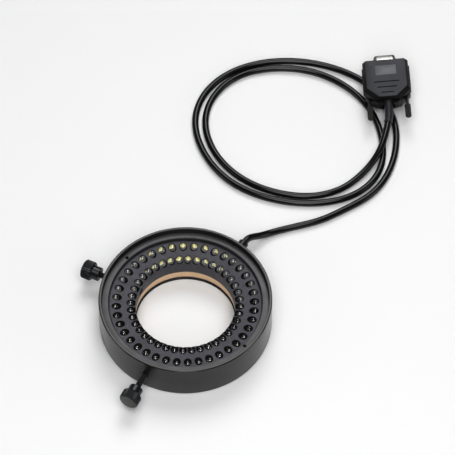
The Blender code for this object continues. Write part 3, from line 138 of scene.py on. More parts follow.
# Lamps
LAMP_RADIUS = 0.00212
LAMP_HOLE_RADIUS = 0.00250
LAMP_STAND = 0.0008
LAMP_DEPTH = 0.0032
LAMP_BASE_RADIUS = 0.0021
STRIP_DEPTH = 0.0052
STRIP_THICKNESS = 0.0008
STRIP_HALF_WIDTH = 0.00205
PHOSPHOR_RADIUS = 0.00048
BASE_GAP = 0.00004
# Steepness of the painted shade across the phosphor
PHOSPHOR_GRADIENT = 0.75

# Clamping screws
CLAMP_HEIGHT = 0.0123
CLAMPS = (("left", 153.75, 0.0613), ("front", 242.6, 0.0658))
SHANK_RADIUS = 0.00195
THREAD_DEPTH = 0.0003
THREAD_PITCH = 0.0007
CLAMP_REACH = 0.0270
NECK_RADIUS = 0.0045
NECK_LENGTH = 0.0047
HEAD_RADIUS = 0.0062
HEAD_LENGTH = 0.0068
KNOB_CHAMFER = 0.0007
KNOB_BORE_DEPTH = 0.0065
KNOB_FLUTES = 32
FLUTE_DEPTH = 0.00035
FLUTE_POWER = 0.7
PAD_THICKNESS = 0.0020
PAD_CHAMFER = 0.0004
PEG_RADIUS = 0.0008
PEG_LENGTH = 0.0020

# Gland and cable
GLAND_ANGLE = 55.0
GLAND_HEIGHT = 0.0100
GLAND_LENGTH = 0.0105
GLAND_ROOT_RADIUS = 0.0036
GLAND_TIP_RADIUS = 0.0032
GLAND_STUB_RADIUS = 0.0029
GLAND_STUB_REACH = 0.0030
GLAND_CHAMFER = 0.0005
CABLE_RADIUS = 0.0022
CABLE_STRAIGHT = 0.0020
CABLE_MARKS = 77
CABLE_RINGS = 640
CABLE_ROUTE = (
    (0.0410, 0.0575, 0.0089), (0.0455, 0.0607, 0.0066), (0.0515, 0.0643, 0.0040),
    (0.0575, 0.0672, 0.0025), (0.0673, 0.0704, 0.0022), (0.0771, 0.0731, 0.0022),
    (0.0858, 0.0759, 0.0022), (0.1021, 0.0844, 0.0022), (0.1215, 0.0980, 0.0022),
    (0.1324, 0.1145, 0.0022), (0.1378, 0.1340, 0.0022), (0.1380, 0.1525, 0.0022),
    (0.1205, 0.1869, 0.0022), (0.1052, 0.1974, 0.0022), (0.0435, 0.2033, 0.0022),
    (0.0240, 0.1933, 0.0022), (0.0106, 0.1773, 0.0022), (0.0053, 0.1576, 0.0022),
    (0.0082, 0.1383, 0.0022), (0.0315, 0.1050, 0.0022), (0.0500, 0.0952, 0.0022),
    (0.0720, 0.0903, 0.0022), (0.1140, 0.0998, 0.0022), (0.1260, 0.1150, 0.0022),
    (0.1293, 0.1350, 0.0022), (0.1180, 0.1718, 0.0022), (0.0820, 0.1979, 0.0022),
    (0.0580, 0.2004, 0.0022), (0.0372, 0.1953, 0.0022), (0.0222, 0.1835, 0.0022),
    (0.0132, 0.1655, 0.0022), (0.0130, 0.1460, 0.0022), (0.0385, 0.1080, 0.0022),
    (0.0600, 0.0982, 0.0022), (0.0825, 0.0958, 0.0022), (0.1015, 0.1017, 0.0022),
    (0.1150, 0.1128, 0.0032), (0.1245, 0.1246, 0.0059), (0.1316, 0.1435, 0.0092),
    (0.1328, 0.1492, 0.0098),
)

# Connector: its place, its turn and roll in degrees, and its hood
CONNECTOR_PLACE = (0.1319, 0.1943, 0.0128)
CONNECTOR_YAW = 2.8
CONNECTOR_ROLL = 4.0
HOOD_HALF_WIDTH = 0.0152
HOOD_HALF_HEIGHT = 0.0072
HOOD_LENGTH = 0.0305
HOOD_CORNER = 0.0065
SHOULDER_HEIGHT = 0.0022
SHOULDER = HOOD_HALF_HEIGHT - SHOULDER_HEIGHT
PLATEAU_HALF_WIDTH = 0.0133
PLATEAU_LENGTH = 0.0301
PLATEAU_CORNER = 0.0077
HOOD_ROUND = 0.0008
SHARP_ROUND = 0.0001
HOOD_WALL = 0.0018
LEDGE_HEIGHT = 0.0027
LEDGE_RADIUS = 0.0113
LEDGE_CENTRE = 0.0230
LEDGE_STEPS = 16
LEDGE_FOOT = -0.7 * OVERRUN
FRONT_LIP = 0.0005
CAVITY_HALF_WIDTH = 0.0086
BOSS_ACROSS = 0.0060
BOSS_BACK = 0.0243
SCREW_HEAD_RADIUS = 0.0026
SCREW_HEAD_DEPTH = 0.0020

# Share of the way from the hood's outline to its plateau, and height
HOOD_LAYERS = (
    (0, -OVERRUN), (0, SHOULDER - 0.0003), (0.05, SHOULDER + 0.0001),
    (0.92, HOOD_HALF_HEIGHT - 0.0002), (1.0, HOOD_HALF_HEIGHT - 0.00006), (1.1, HOOD_HALF_HEIGHT),
)

# Label, the lines behind it and the toothed grips
LABEL_LENGTH = 0.0135
LABEL_DEPTH = 0.0075
LABEL_THICKNESS = 0.0006
LABEL_BACK = 0.0046
LABEL_FIT = 0.2 * GAP
GROOVE_WIDTH = 0.0009
GROOVE_DEPTH = 0.0004
GROOVE_LENGTHS = (0.0170, 0.0130, 0.0085)
GROOVE_START = 0.0176
GROOVE_PITCH = 0.0044
GRIP_START = 0.0045
GRIP_LENGTH = 0.0175
GRIP_HALF_HEIGHT = 0.0042
GRIP_STAND = 0.0006
GRIP_NOTCHES = 5
GRIP_NOTCH_SHARE = 0.4

# Flange, metal shell, insulator and contacts; the metal takes painted shade where its normal rises less than
# the slant
FLANGE_HALF_WIDTH = 0.0146
FLANGE_HALF_HEIGHT = 0.00625
FLANGE_CORNER = 0.0024
FLANGE_THICKNESS = 0.0009
SHELL_HALF_WIDTH = 0.00815
SHELL_HALF_HEIGHT = 0.00395
SHELL_SIDE_ANGLE = 10.0
SHELL_CORNER = 0.0014
SHELL_WALL = 0.0005
SHELL_EDGE = 0.0002
SHELL_TOP_SLANT = 0.7
SHELL_ROUND_SHARE = 1.6
SHELL_STEPS = 8
SHELL_REACH = 0.0069
INSULATOR_RECESS = 0.0005
INSULATOR_COLLAR = 0.0032
INSULATOR_LENGTH = 0.0072
CONTACT_PITCH = 0.00277
CONTACT_ROWS = 0.00284
CONTACT_RADIUS = 0.00075
CONTACT_RECESS = 0.0010
CONTACT_TAIL = 0.0028
CONTACT_SLOT_DEPTH = 0.0030
CONTACT_SLOT_RADIUS = 0.0005

# Jackscrews and the pockets of their clips
JACK_SPACING = 0.02499
JACK_RADIUS = 0.0014
JACK_SETBACK = 0.0008
JACK_TRAVEL = 0.0038
JACK_END = 0.0430
JACK_NECK_RADIUS = 0.0011
JACK_TAIL_LENGTH = 0.0098
JACK_TAIL_RADIUS = 0.0020
JACK_CHAMFER = 0.0004
JACK_COLLAR_RADIUS = 0.0019
JACK_COLLAR_LENGTH = 0.0006
KNURL_FLUTES = 14
KNURL_DEPTH = 0.00022
CLIP_THICKNESS = 0.0008
CLIP_RADIUS = 0.0022
POCKET_BACK = 0.0205

# Boot; its band and its mouth are each a share of the way along and a step in radius
BOOT_ROOT_RADIUS = 0.0033
BOOT_TIP_RADIUS = 0.0025
BOOT_CLEARANCE = 0.0009
BOOT_FLANGE_RADIUS = 0.0048
BOOT_FLANGE_LENGTH = 0.0015
BOOT_START = 0.0272
BOOT_RINGS = 40
BOOT_BAND = (0.9, 0.00025)
BOOT_MOUTH = (0.97, 0.0002)

# Camera at the photograph's angle
CAMERA_LENS = 267.4
CAMERA_TARGET = (0.02668, 0.07219, 0.0)
CAMERA_DISTANCE = 2.2
CAMERA_ELEVATION = 55.49
CAMERA_CLIP = (0.1, 50.0)

# Stage: each light's name, place, size and share of the key light's power
FLOOR_REACH = 6.0
LIGHTS = (
    ("key", (0.05, -0.45, 1.15), 1.0, 1.0),
    ("back", (0.2, 1.0, 1.35), 1.1, 1.15),
    ("front", (0.0, -1.3, 0.9), 0.5, 0.22),
    ("left", (-1.3, -0.3, 0.45), 0.6, 0.12),
    ("right", (1.3, -0.3, 0.45), 0.6, 0.16),
)

# Grain
GRAIN_RANGE = (0.4, 0.75)
GRAIN_DETAIL = 3.0
BROAD_RANGE = (0.3, 0.7)
BROAD_SHARE = 0.04
BROAD_DETAIL = 2.0

# Finishes: colour, colour of the flecks, grains per metre, share of flecks, roughness from and to,
# metallic, depth of the grain, depth of the lathe's marks and specular level.  A colour may be a setting,
# given by its group and name, and the flecks' colour a number by which to multiply it.
FINISHES = {
    "anodised": (("ring", "body_colour"), 1.6, 2500, 0.5, (0.20, 0.27), 0, 6e-6, 8e-6),
    "plate_black": (("ring", "plate_colour"), 2.4, 1800, 0.9, (0.45, 0.58), 0.2, 3e-5),
    "copper_tan": (("ring", "liner_colour"), 1.2, 700, 0.5, (0.32, 0.44), 0.45, 4e-6, 1e-5),
    "ring_face": ((0.054, 0.054, 0.057), (0.022, 0.022, 0.023), 2500, 0.8, (0.32, 0.42), 0, 6e-6, 1e-5, 0.55),
    # Painted shade: black put on hole walls and lamp walls where shade falls
    "deep_black": ((0.006, 0.006, 0.007), (0.012, 0.012, 0.012), 1500, 0.5, (0.5, 0.6), 0, 0, 0, 0.2),
    # Painted shade: darker copy of the hood's finish for its sides and lower shell
    "hood_side": ((0.005, 0.005, 0.006), (0.010, 0.010, 0.011), 1800, 0.6, (0.34, 0.44), 0, 2e-5, 0, 0.16),
    "boot_black": ((0.022, 0.022, 0.026), (0.034, 0.034, 0.038), 1500, 0.5, (0.34, 0.44), 0, 1e-5),
    "knob_face": ((0.030, 0.031, 0.025), (0.050, 0.051, 0.040), 1400, 0.6, (0.34, 0.44), 0, 1e-5),
    "knob_black": ((0.005, 0.006, 0.009), (0.015, 0.016, 0.020), 1600, 0.6, (0.22, 0.30), 0, 1e-5, 0, 0.45),
    "black_steel": ((0.012, 0.012, 0.011), (0.03, 0.031, 0.025), 1400, 0.7, (0.26, 0.38), 0.2, 8e-6, 0, 0.35),
    "rubber": ((0.005, 0.005, 0.006), (0.010, 0.010, 0.011), 1200, 0.5, (0.22, 0.30), 0, 1e-5, 0, 0.4),
    "cable_black": (("cable", "colour"), 1.7, 900, 0.5, (0.11, 0.17), 0, 4e-6, 0, 0.42),
    "hood_grey": (("connector", "hood_colour"), 1.7, 1800, 0.6, (0.38, 0.48), 0, 3e-5, 0, 0.25),
    "label_grey": (("connector", "label_colour"), 1.25, 900, 0.5, (0.42, 0.52), 0, 6e-6),
    "lens": ((0.012, 0.012, 0.012), (0.02, 0.02, 0.02), 900, 0.5, (0.4, 0.5)),
    # Painted light: the lamp base's bright flecks are painted glints
    "lamp_cup": ((0.04, 0.04, 0.04), (0.16, 0.16, 0.15), 1500, 0.7, (0.3, 0.4)),
    # Painted light: the phosphor's colour runs from a pale inner edge to a painted shade at its outer edge
    "phosphor": (("ring", "phosphor_colour"), ("ring", "phosphor_painted_shade"), 1500, 0.3, (0.4, 0.5)),
    "board_green": ((0.02, 0.12, 0.05), (0.03, 0.16, 0.07), 500, 0.6, (0.35, 0.5), 0, 1e-5),
    "steel": ((0.55, 0.55, 0.54), (0.42, 0.42, 0.42), 1500, 0.6, (0.24, 0.36), 1.0, 4e-6),
    "nylon": ((0.75, 0.74, 0.70), (0.65, 0.64, 0.60), 900, 0.4, (0.4, 0.55), 0, 1e-5),
    "tin": ((0.72, 0.72, 0.70), (0.6, 0.6, 0.58), 1000, 0.5, (0.16, 0.28), 1.0, 3e-6),
    "insulator": ((0.015, 0.015, 0.017), (0.03, 0.03, 0.03), 1000, 0.4, (0.4, 0.5), 0, 8e-6),
    # Painted shade and reflection: dark copy of the tin for the shell's faces that don't face up
    "dark_tin": ((0.05, 0.05, 0.05), (0.03, 0.03, 0.03), 1000, 0.5, (0.3, 0.4), 0.8),
    "gold": ((0.78, 0.55, 0.20), (0.7, 0.48, 0.16), 1500, 0.4, (0.18, 0.28), 1.0),
    "wire_red": ((0.45, 0.05, 0.04), (0.5, 0.07, 0.05), 900, 0.5, (0.35, 0.5)),
    "white": ((0.70, 0.70, 0.68), (0.6, 0.6, 0.58), 900, 0.5, (0.4, 0.55)),
    "floor_paper": (("stage", "floor_colour"), ("stage", "floor_colour"), 200, 0.0, (0.55, 0.6)),
}
RESIN = {
    "Base Color": (0.72, 0.72, 0.71, 1), "Roughness": 0.03, "IOR": 1.5, "Transmission Weight": 1.0,
    "Coat Weight": 1.0, "Coat Roughness": 0.03, "Coat IOR": 1.9,
}

# Finishes of the CAD nodes that still show
NODE_SLOTS = (
    ("board_green", ["circuit_board"]),
    ("steel", ["board_screw_1", "board_screw_2", "board_screw_3", "hood_screw_1", "hood_screw_2",
               "cable_saddle", "jack_clip_left", "jack_clip_right"]),
    ("white", ["board_header"]),
    ("wire_red", ["outer_row_wire", "inner_row_wire", "conductor_red"]),
    ("black_steel", ["gland_nut"]),
    ("cable_black", ["inner_lead", "hood_lead", "conductor_black"]),
)


# What a user would change

def colour_setting(name, description, default):
    """Colour that a user may change."""
    return FloatVectorProperty(name=name, description=description, default=default, subtype="COLOR")


def length_setting(name, description, default):
    """Length in metres that a user may change."""
    return FloatProperty(name=name, description=description, default=default, subtype="DISTANCE",
                         unit="LENGTH", precision=5)


def angle_setting(name, description, degrees):
    """Angle that a user may change, given in degrees."""
    return FloatProperty(name=name, description=description, default=math.radians(degrees),
                         subtype="ANGLE", unit="ROTATION")


def number_setting(name, description, default):
    """Plain number that a user may change."""
    return FloatProperty(name=name, description=description, default=default)


class RingSettings(bpy.types.PropertyGroup):
    """Sizes and colours of the ring and its lamps."""
    lamps: IntProperty(name="Lamps per row", description="Lamps in each of the two rows", default=40)
    phase: angle_setting("Lamp phase", "Angle of the outer row's first lamp", 2.3)
    tilt: angle_setting("Lamp tilt", "Lean of the lamps towards the axis", 42)
    outer_row: length_setting("Outer row", "Radius of the outer row at the plate's face", 0.04375)
    inner_row: length_setting("Inner row", "Radius of the inner row at the plate's face", 0.0343)
    body_colour: colour_setting("Anodised colour", "Colour of housing and ring", (0.013, 0.013, 0.0135))
    plate_colour: colour_setting("Plate colour", "Colour of the lamp plate", (0.042, 0.041, 0.050))
    liner_colour: colour_setting("Liner colour", "Colour of the ring in the bore", (0.80, 0.58, 0.38))
    # The phosphor's pale inner edge and darker outer edge are painted light and shade, and its glow is
    # painted light
    phosphor_colour: colour_setting("Phosphor colour", "Inner edge of the phosphor", (0.95, 0.90, 0.42))
    phosphor_painted_shade: colour_setting("Phosphor shade", "Outer edge of the phosphor", (0.44, 0.42, 0.09))
    phosphor_painted_glow: number_setting("Phosphor glow", "Strength of the lamps' own faint light", 0.48)
    # Painted glow on the lamps' base, standing in for light seen through the resin
    cup_painted_glow: number_setting("Cup glow", "Light that the resin spreads round the phosphor", 0.075)


class CableSettings(bpy.types.PropertyGroup):
    """Size and colour of the cable."""
    diameter: length_setting("Diameter", "Outside diameter of the cable", 2 * CABLE_RADIUS)
    colour: colour_setting("Cable colour", "Colour of the cable's jacket", (0.0035, 0.0035, 0.0045))


class ConnectorSettings(bpy.types.PropertyGroup):
    """Colours of the connector."""
    hood_colour: colour_setting("Hood colour", "Colour of the moulded hood", (0.0380, 0.0390, 0.0460))
    label_colour: colour_setting("Label colour", "Colour of the blank label", (0.112, 0.113, 0.122))


class StageSettings(bpy.types.PropertyGroup):
    """Floor and light."""
    floor_colour: colour_setting("Floor colour", "Colour of the pale floor", (0.86, 0.86, 0.86))
    key_power: FloatProperty(name="Key light", description="Power of the large soft light",
                             default=10.85, subtype="POWER", unit="POWER")
    fill_strength: number_setting("Fill", "Strength of the light from all round", 0.12)
    contrast: number_setting("Contrast", "Gamma of the picture, below 1 for deeper blacks", 0.86)


# Meshes from grids of points

def grid_mesh(name, points, wrap_rows=False, wrap_columns=True):
    """Quads between the neighbours of a grid of points, with doubles merged and normals outwards."""
    rows, columns = points.shape[:2]
    i, j = np.meshgrid(np.arange(rows if wrap_rows else rows - 1),
                       np.arange(columns if wrap_columns else columns - 1), indexing="ij")
    next_i, next_j = (i + 1) % rows, (j + 1) % columns
    corners = (i * columns + j, i * columns + next_j, next_i * columns + next_j, next_i * columns + j)
    faces = np.stack(corners, axis=-1).reshape(-1, 4)
    mesh = bpy.data.meshes.new(name)
    mesh.from_pydata(points.reshape(-1, 3).tolist(), [], faces.tolist())
    return tidy_mesh(mesh)


def tidy_mesh(mesh):
    """Merge doubles, turn the faces outwards and shade smooth except across sharp edges."""
    work = bmesh.new()
    work.from_mesh(mesh)
    bmesh.ops.remove_doubles(work, verts=work.verts, dist=MERGE_DISTANCE)
    bmesh.ops.dissolve_degenerate(work, edges=work.edges, dist=LEAST_EDGE)
    bmesh.ops.recalc_face_normals(work, faces=work.faces)
    work.to_mesh(mesh)
    work.free()
    return shaded(mesh)


def shaded(mesh):
    """Shade a mesh smooth except across sharp edges."""
    mesh.shade_smooth()
    mesh.set_sharp_from_angle(angle=SHARP_ANGLE)
    return mesh


def triples(items, kind):
    """Three numbers of each vertex or face of a mesh, one row each."""
    values = np.empty(3 * len(items))
    items.foreach_get(kind, values)
    return values.reshape(-1, 3)


def with_ones(rows):
    """Rows with a column of ones added, ready for a four by four matrix."""
    return np.column_stack((rows, np.ones(len(rows))))


def rounded(corners, radius, closed=True, steps=3):
    """Replace each corner of a flat outline with an arc.

    A corner C between unit directions a and b has its arc's ends C + t a and C + t b, where
    t = radius / tan(half the corner's angle), limited to 45% of the shorter side; the arc is the
    quadratic curve (1-s)^2 (C+ta) + 2s(1-s) C + s^2 (C+tb).
    """
    corners = np.array(corners, float)
    before = np.roll(corners, 1, axis=0) - corners
    after = np.roll(corners, -1, axis=0) - corners
    before_length = np.linalg.norm(before, axis=1)
    after_length = np.linalg.norm(after, axis=1)
    a = before / np.maximum(before_length, LEAST_LENGTH)[:, None]
    b = after / np.maximum(after_length, LEAST_LENGTH)[:, None]
    half = np.arccos(np.clip((a * b).sum(axis=1), -1, 1)) / 2
    reach = radius / np.maximum(np.tan(half), LEAST_SLOPE)
    reach = np.minimum(reach, CORNER_SHARE * np.minimum(before_length, after_length))[:, None]
    share = np.linspace(0, 1, steps + 1)[None, :, None]
    start, end, middle = (corners + reach * a)[:, None], (corners + reach * b)[:, None], corners[:, None]
    arcs = (1 - share) ** 2 * start + 2 * share * (1 - share) * middle + share ** 2 * end
    if closed:
        return arcs.reshape(-1, 2)
    return np.concatenate((corners[:1], arcs[1:-1].reshape(-1, 2), corners[-1:]))


def turned(name, profile, sides, closed=True, edge=EDGE, wave=None):
    """Surface of revolution: (r, z) of the profile turns to (r cos u, r sin u, z).

    Each row of the profile is a radius and the one or more heights that it has in turn.  wave(u, z, r),
    where given, returns the radius to use in its place.
    """
    line = np.array([(radius, height) for radius, *heights in profile for height in heights], float)
    if edge:
        line = rounded(line, edge, closed)
    turn = np.linspace(0, 2 * math.pi, sides, endpoint=False)[None]
    radius = np.repeat(line[:, :1], sides, axis=1)
    height = np.repeat(line[:, 1:], sides, axis=1)
    if wave:
        radius = wave(turn, height, radius)
    points = np.stack((radius * np.cos(turn), radius * np.sin(turn), height), axis=-1)
    return grid_mesh(name, points, wrap_rows=closed)


def rod(name, radius, low, high, sides=PLAIN_SIDES):
    """Plain cylinder about Z between two heights."""
    return turned(name, [(0, high), (radius, high, low), (0, low)], sides, False, 0)


def lofted(name, layers):
    """Skin through outlines of equal count, each with its height; both ends close on their middles."""
    rows = [np.column_stack((outline, np.full(len(outline), height))) for outline, height in layers]
    first = np.tile(rows[0].mean(axis=0), (len(rows[0]), 1))
    last = np.tile(rows[-1].mean(axis=0), (len(rows[-1]), 1))
    return grid_mesh(name, np.stack([first, *rows, last]))


def slab(name, outline, low, high, edge=0):
    """Flat outline carried from one height to another, with its rims drawn in by a small edge."""
    outline = np.array(outline, float)
    if not edge:
        return lofted(name, [(outline, low), (outline, high)])
    middle = (outline.min(axis=0) + outline.max(axis=0)) / 2
    size = outline.max(axis=0) - outline.min(axis=0)
    drawn, soft = [middle + (outline - middle) * (1 - 2 * share * edge / size) for share in (1, SOFT_SHARE)]
    rise = SOFT_SHARE * edge
    return lofted(name, [(drawn, low), (soft, low + rise), (outline, low + edge), (outline, high - edge),
                         (soft, high - rise), (drawn, high)])


def box(name, low, high):
    """Box between two opposite corners."""
    low, high = np.array(low), np.array(high)
    outline = [(low[0], low[1]), (high[0], low[1]), (high[0], high[1]), (low[0], high[1])]
    return slab(name, outline, low[2], high[2])


def tube(name, path, radii, sides=ROUND_SIDES):
    """Circle carried along a path: P + r (cos u side + sin u up), side = tangent x Z, up = side x tangent."""
    path = np.array(path, float)
    radii = np.broadcast_to(np.asarray(radii, float), len(path))
    tangent = np.gradient(path, axis=0)
    tangent /= np.linalg.norm(tangent, axis=1)[:, None]
    side = np.cross(tangent, (0, 0, 1))
    side /= np.linalg.norm(side, axis=1)[:, None]
    up = np.cross(side, tangent)
    turn = np.linspace(0, 2 * math.pi, sides, endpoint=False)
    ring = np.cos(turn)[None, :, None] * side[:, None] + np.sin(turn)[None, :, None] * up[:, None]
    points = path[:, None] + radii[:, None, None] * ring
    first, last = [np.tile(end, (1, sides, 1)) for end in (path[0], path[-1])]
    return grid_mesh(name, np.concatenate((first, points, last)))


def smooth_path(points, count):
    """Evenly spaced points on the natural cubic curve through the given ones.

    The second derivatives at the points solve the usual three-term equations, with the straight
    distances between the points as the steps of the parameter.
    """
    places = np.array(points, float)
    steps = np.linalg.norm(np.diff(places, axis=0), axis=1)
    knots = np.concatenate(([0], np.cumsum(steps)))
    size = len(places)
    inner = np.arange(1, size - 1)
    system = np.eye(size)
    system[inner, inner - 1] = steps[:-1]
    system[inner, inner] = 2 * (steps[:-1] + steps[1:])
    system[inner, inner + 1] = steps[1:]
    right = np.zeros_like(places)
    right[1:-1] = 6 * np.diff(np.diff(places, axis=0) / steps[:, None], axis=0)
    second = np.linalg.solve(system, right)
    values = np.linspace(0, knots[-1], SAMPLES_PER_POINT * size)
    left = np.clip(np.searchsorted(knots, values, side="right") - 1, 0, size - 2)
    span = steps[left][:, None]
    after = (values - knots[left])[:, None] / span
    before = 1 - after
    bent = (before ** 3 - before) * second[left] + (after ** 3 - after) * second[left + 1]
    fine = before * places[left] + after * places[left + 1] + bent * span ** 2 / 6
    lengths = np.concatenate(([0], np.cumsum(np.linalg.norm(np.diff(fine, axis=0), axis=1))))
    even = np.linspace(0, lengths[-1], count)
    return np.stack([np.interp(even, lengths, fine[:, axis]) for axis in range(3)], axis=1)


def copies(name, mesh, matrices):
    """One copy of a mesh at each matrix, all in one mesh; a mirrored one has its faces turned back."""
    points = with_ones(triples(mesh.vertices, "co"))
    placed = np.concatenate([points @ np.array(matrix).T for matrix in matrices])[:, :3]
    faces = [list(face.vertices) for face in mesh.polygons]
    all_faces = []
    for number, matrix in enumerate(matrices):
        turn = -1 if matrix.determinant() < 0 else 1
        all_faces += [[corner + number * len(points) for corner in face[::turn]] for face in faces]
    result = bpy.data.meshes.new(name)
    result.from_pydata(placed.tolist(), [], all_faces)
    return shaded(result)


def rods(places, radius, low, high, sides=PLAIN_SIDES):
    """Plain cylinders about Z at several places, all in one mesh."""
    return copies("rods", rod("rod", radius, low, high, sides), places)


def joined(name, *meshes):
    """Several meshes as one."""
    work = bmesh.new()
    for mesh in meshes:
        work.from_mesh(mesh)
    result = bpy.data.meshes.new(name)
    work.to_mesh(result)
    work.free()
    return tidy_mesh(result)


def new_object(name, data):
    """Object with its data, put into the scene."""
    made = bpy.data.objects.new(name, data)
    bpy.context.scene.collection.objects.link(made)
    return made


def carved(mesh, cuts, adds=()):
    """Join some meshes to one, then cut others out of it, by exact booleans."""
    made = [new_object("blank", mesh)]
    for operation, others in (("UNION", adds), ("DIFFERENCE", cuts)):
        for other in others:
            made.append(new_object("tool", other))
            modifier = made[0].modifiers.new(operation, "BOOLEAN")
            modifier.operation = operation
            modifier.solver = "EXACT"
            modifier.object = made[-1]
    graph = bpy.context.evaluated_depsgraph_get()
    result = bpy.data.meshes.new_from_object(made[0].evaluated_get(graph))
    for each in made:
        bpy.data.objects.remove(each)
    return tidy_mesh(result)


def moved(mesh, matrix):
    """Carry a mesh by a matrix."""
    mesh.transform(matrix)
    return mesh


# Places.  The connector's frame has Y forward to its mate, Z up and its middle on the front face; FACING
# stands an outline drawn in width and height up, so that its Z runs backwards; FORWARD lays a piece made
# about Z along the connector's Y axis.

FACING = Matrix.Rotation(math.radians(90), 4, "X")
FORWARD = Matrix.Rotation(math.radians(-90), 4, "X")
CONNECTOR_FRAME = (Matrix.Translation(CONNECTOR_PLACE)
                   @ Matrix.Rotation(math.radians(CONNECTOR_YAW), 4, "Z")
                   @ Matrix.Rotation(math.radians(-CONNECTOR_ROLL), 4, "Y"))


def about_axis(angle):
    """Turn about the ring's axis, in degrees."""
    return Matrix.Rotation(math.radians(angle), 4, "Z")


def radial(angle, height, distance=0.0):
    """Frame whose Z axis points out from the ring's axis at an angle in degrees."""
    return (about_axis(angle) @ Matrix.Translation((distance, 0, height))
            @ Matrix.Rotation(math.radians(90), 4, "Y"))


def polar(radius, angle, height):
    """Point at a radius, an angle in degrees and a height."""
    turn = math.radians(angle)
    return (radius * math.cos(turn), radius * math.sin(turn), height)


def face_height(radius):
    """Height of the dished face: linear in the radius from the bore to the edge."""
    share = (radius - PLATE_BORE_RADIUS) / (PLATE_FACE_RADIUS - PLATE_BORE_RADIUS)
    return FACE_BORE_HEIGHT + share * PLATE_DISH


def row_frames(radius, phase, ring):
    """Frames at the mouths of one row of lamps, Z along each lamp's beam."""
    pitch = 360 / ring.lamps
    lean = Matrix.Rotation(-ring.tilt, 4, "Y")
    mouth = Matrix.Translation((radius, 0, face_height(radius)))
    return [about_axis(phase + pitch * k) @ mouth @ lean for k in range(ring.lamps)]


def lamp_rows(ring):
    """Name, radius and first angle of both rows."""
    first = math.degrees(ring.phase)
    return (("outer", ring.outer_row, first), ("inner", ring.inner_row, first + 180 / ring.lamps))


def clamp_bores():
    """Meshes of the clearance bores along both clamping screws."""
    places = [radial(angle, CLAMP_HEIGHT) for _, angle, _ in CLAMPS]
    return rods(places, SHANK_RADIUS + GAP, PLATE_BORE_RADIUS - OVERRUN, HOUSING_RADIUS + OVERRUN)


# Materials

def new_group(name, inputs, outputs):
    """Empty shader node group with named inputs and outputs; returns it with its end nodes."""
    group = bpy.data.node_groups.new(name, "ShaderNodeTree")
    for label, kind, value in inputs:
        socket = group.interface.new_socket(label, in_out="INPUT", socket_type=kind)
        socket.default_value = value
    for label, kind in outputs:
        group.interface.new_socket(label, in_out="OUTPUT", socket_type=kind)
    return group, group.nodes.new("NodeGroupInput"), group.nodes.new("NodeGroupOutput")


def feed(tree, node, inputs):
    """Give each of a node's inputs a value, or link it to a socket."""
    for name, value in inputs.items():
        if isinstance(value, bpy.types.NodeSocket):
            tree.links.new(value, node.inputs[name])
        else:
            node.inputs[name].default_value = value


def add_node(tree, kind, inputs, **settings):
    """Shader node of a kind, with its settings made before its inputs are fed."""
    node = tree.nodes.new("ShaderNode" + kind)
    for name, value in settings.items():
        setattr(node, name, value)
    feed(tree, node, inputs)
    return node


def math_node(tree, operation, *values):
    """Math node fed by sockets or numbers; returns its output."""
    return add_node(tree, "Math", dict(enumerate(values)), operation=operation).outputs[0]


def noise_node(tree, place, scale, detail):
    """Noise at a place; returns its output."""
    return add_node(tree, "TexNoise", {"Vector": place, "Scale": scale, "Detail": detail}).outputs["Fac"]


def mix_colours(tree, share, first, second):
    """Mix of two colours, fed to inputs 6 and 7, by a share; returns its output."""
    return add_node(tree, "Mix", {"Factor": share, 6: first, 7: second}, data_type="RGBA").outputs[2]


def spread(tree, value, limits, **ends):
    """Range of a noise spread over 0 to 1, or over the ends given; returns its output."""
    inputs = {"Value": value, "From Min": limits[0], "From Max": limits[1]}
    inputs.update({"To " + name: end for name, end in ends.items()})
    return add_node(tree, "MapRange", inputs).outputs["Result"]


@cache
def grain_group():
    """Fine grain: noise on Object coordinates mixes two colours, spreads the roughness and gives a height."""
    group, start, end = new_group("fine_grain", [
        ("Colour", "NodeSocketColor", (0.05, 0.05, 0.05, 1)),
        ("Fleck", "NodeSocketColor", (0.08, 0.08, 0.08, 1)),
        ("Scale", "NodeSocketFloat", 900.0),
        ("Fleck Amount", "NodeSocketFloat", 0.5),
        ("Roughness Low", "NodeSocketFloat", 0.35),
        ("Roughness High", "NodeSocketFloat", 0.5),
    ], [("Colour", "NodeSocketColor"), ("Roughness", "NodeSocketFloat"), ("Height", "NodeSocketFloat")])
    given = start.outputs
    place = add_node(group, "TexCoord", {}).outputs["Object"]
    fine = noise_node(group, place, given["Scale"], GRAIN_DETAIL)
    coarse = math_node(group, "MULTIPLY", given["Scale"], BROAD_SHARE)
    broad = noise_node(group, place, coarse, BROAD_DETAIL)
    share = math_node(group, "MULTIPLY", spread(group, fine, GRAIN_RANGE), given["Fleck Amount"])
    rough = spread(group, broad, BROAD_RANGE, Min=given["Roughness Low"], Max=given["Roughness High"])
    colour = mix_colours(group, share, given["Colour"], given["Fleck"])
    feed(group, end, {"Colour": colour, "Roughness": rough, "Height": fine})
    return group


@cache
def turning_group():
    """Tool marks of a lathe: one-way noise along radius plus height about the Z axis gives a height."""
    group, start, end = new_group("turning_marks", [("Scale", "NodeSocketFloat", 3000.0)],
                                  [("Height", "NodeSocketFloat")])
    x, y, z = add_node(group, "SeparateXYZ", {0: add_node(group, "TexCoord", {}).outputs["Object"]}).outputs
    squares = [math_node(group, "MULTIPLY", part, part) for part in (x, y)]
    radius = math_node(group, "SQRT", math_node(group, "ADD", *squares))
    run = math_node(group, "MULTIPLY", math_node(group, "ADD", radius, z), start.outputs["Scale"])
    noise = add_node(group, "TexNoise", {"W": run, "Scale": 1.0}, noise_dimensions="1D")
    feed(group, end, {"Height": noise.outputs["Fac"]})
    return group


def new_material(name):
    """Empty material; returns it with its node tree and its shader."""
    material = bpy.data.materials.new(name)
    material.use_nodes = True
    return material, material.node_tree, material.node_tree.nodes["Principled BSDF"]


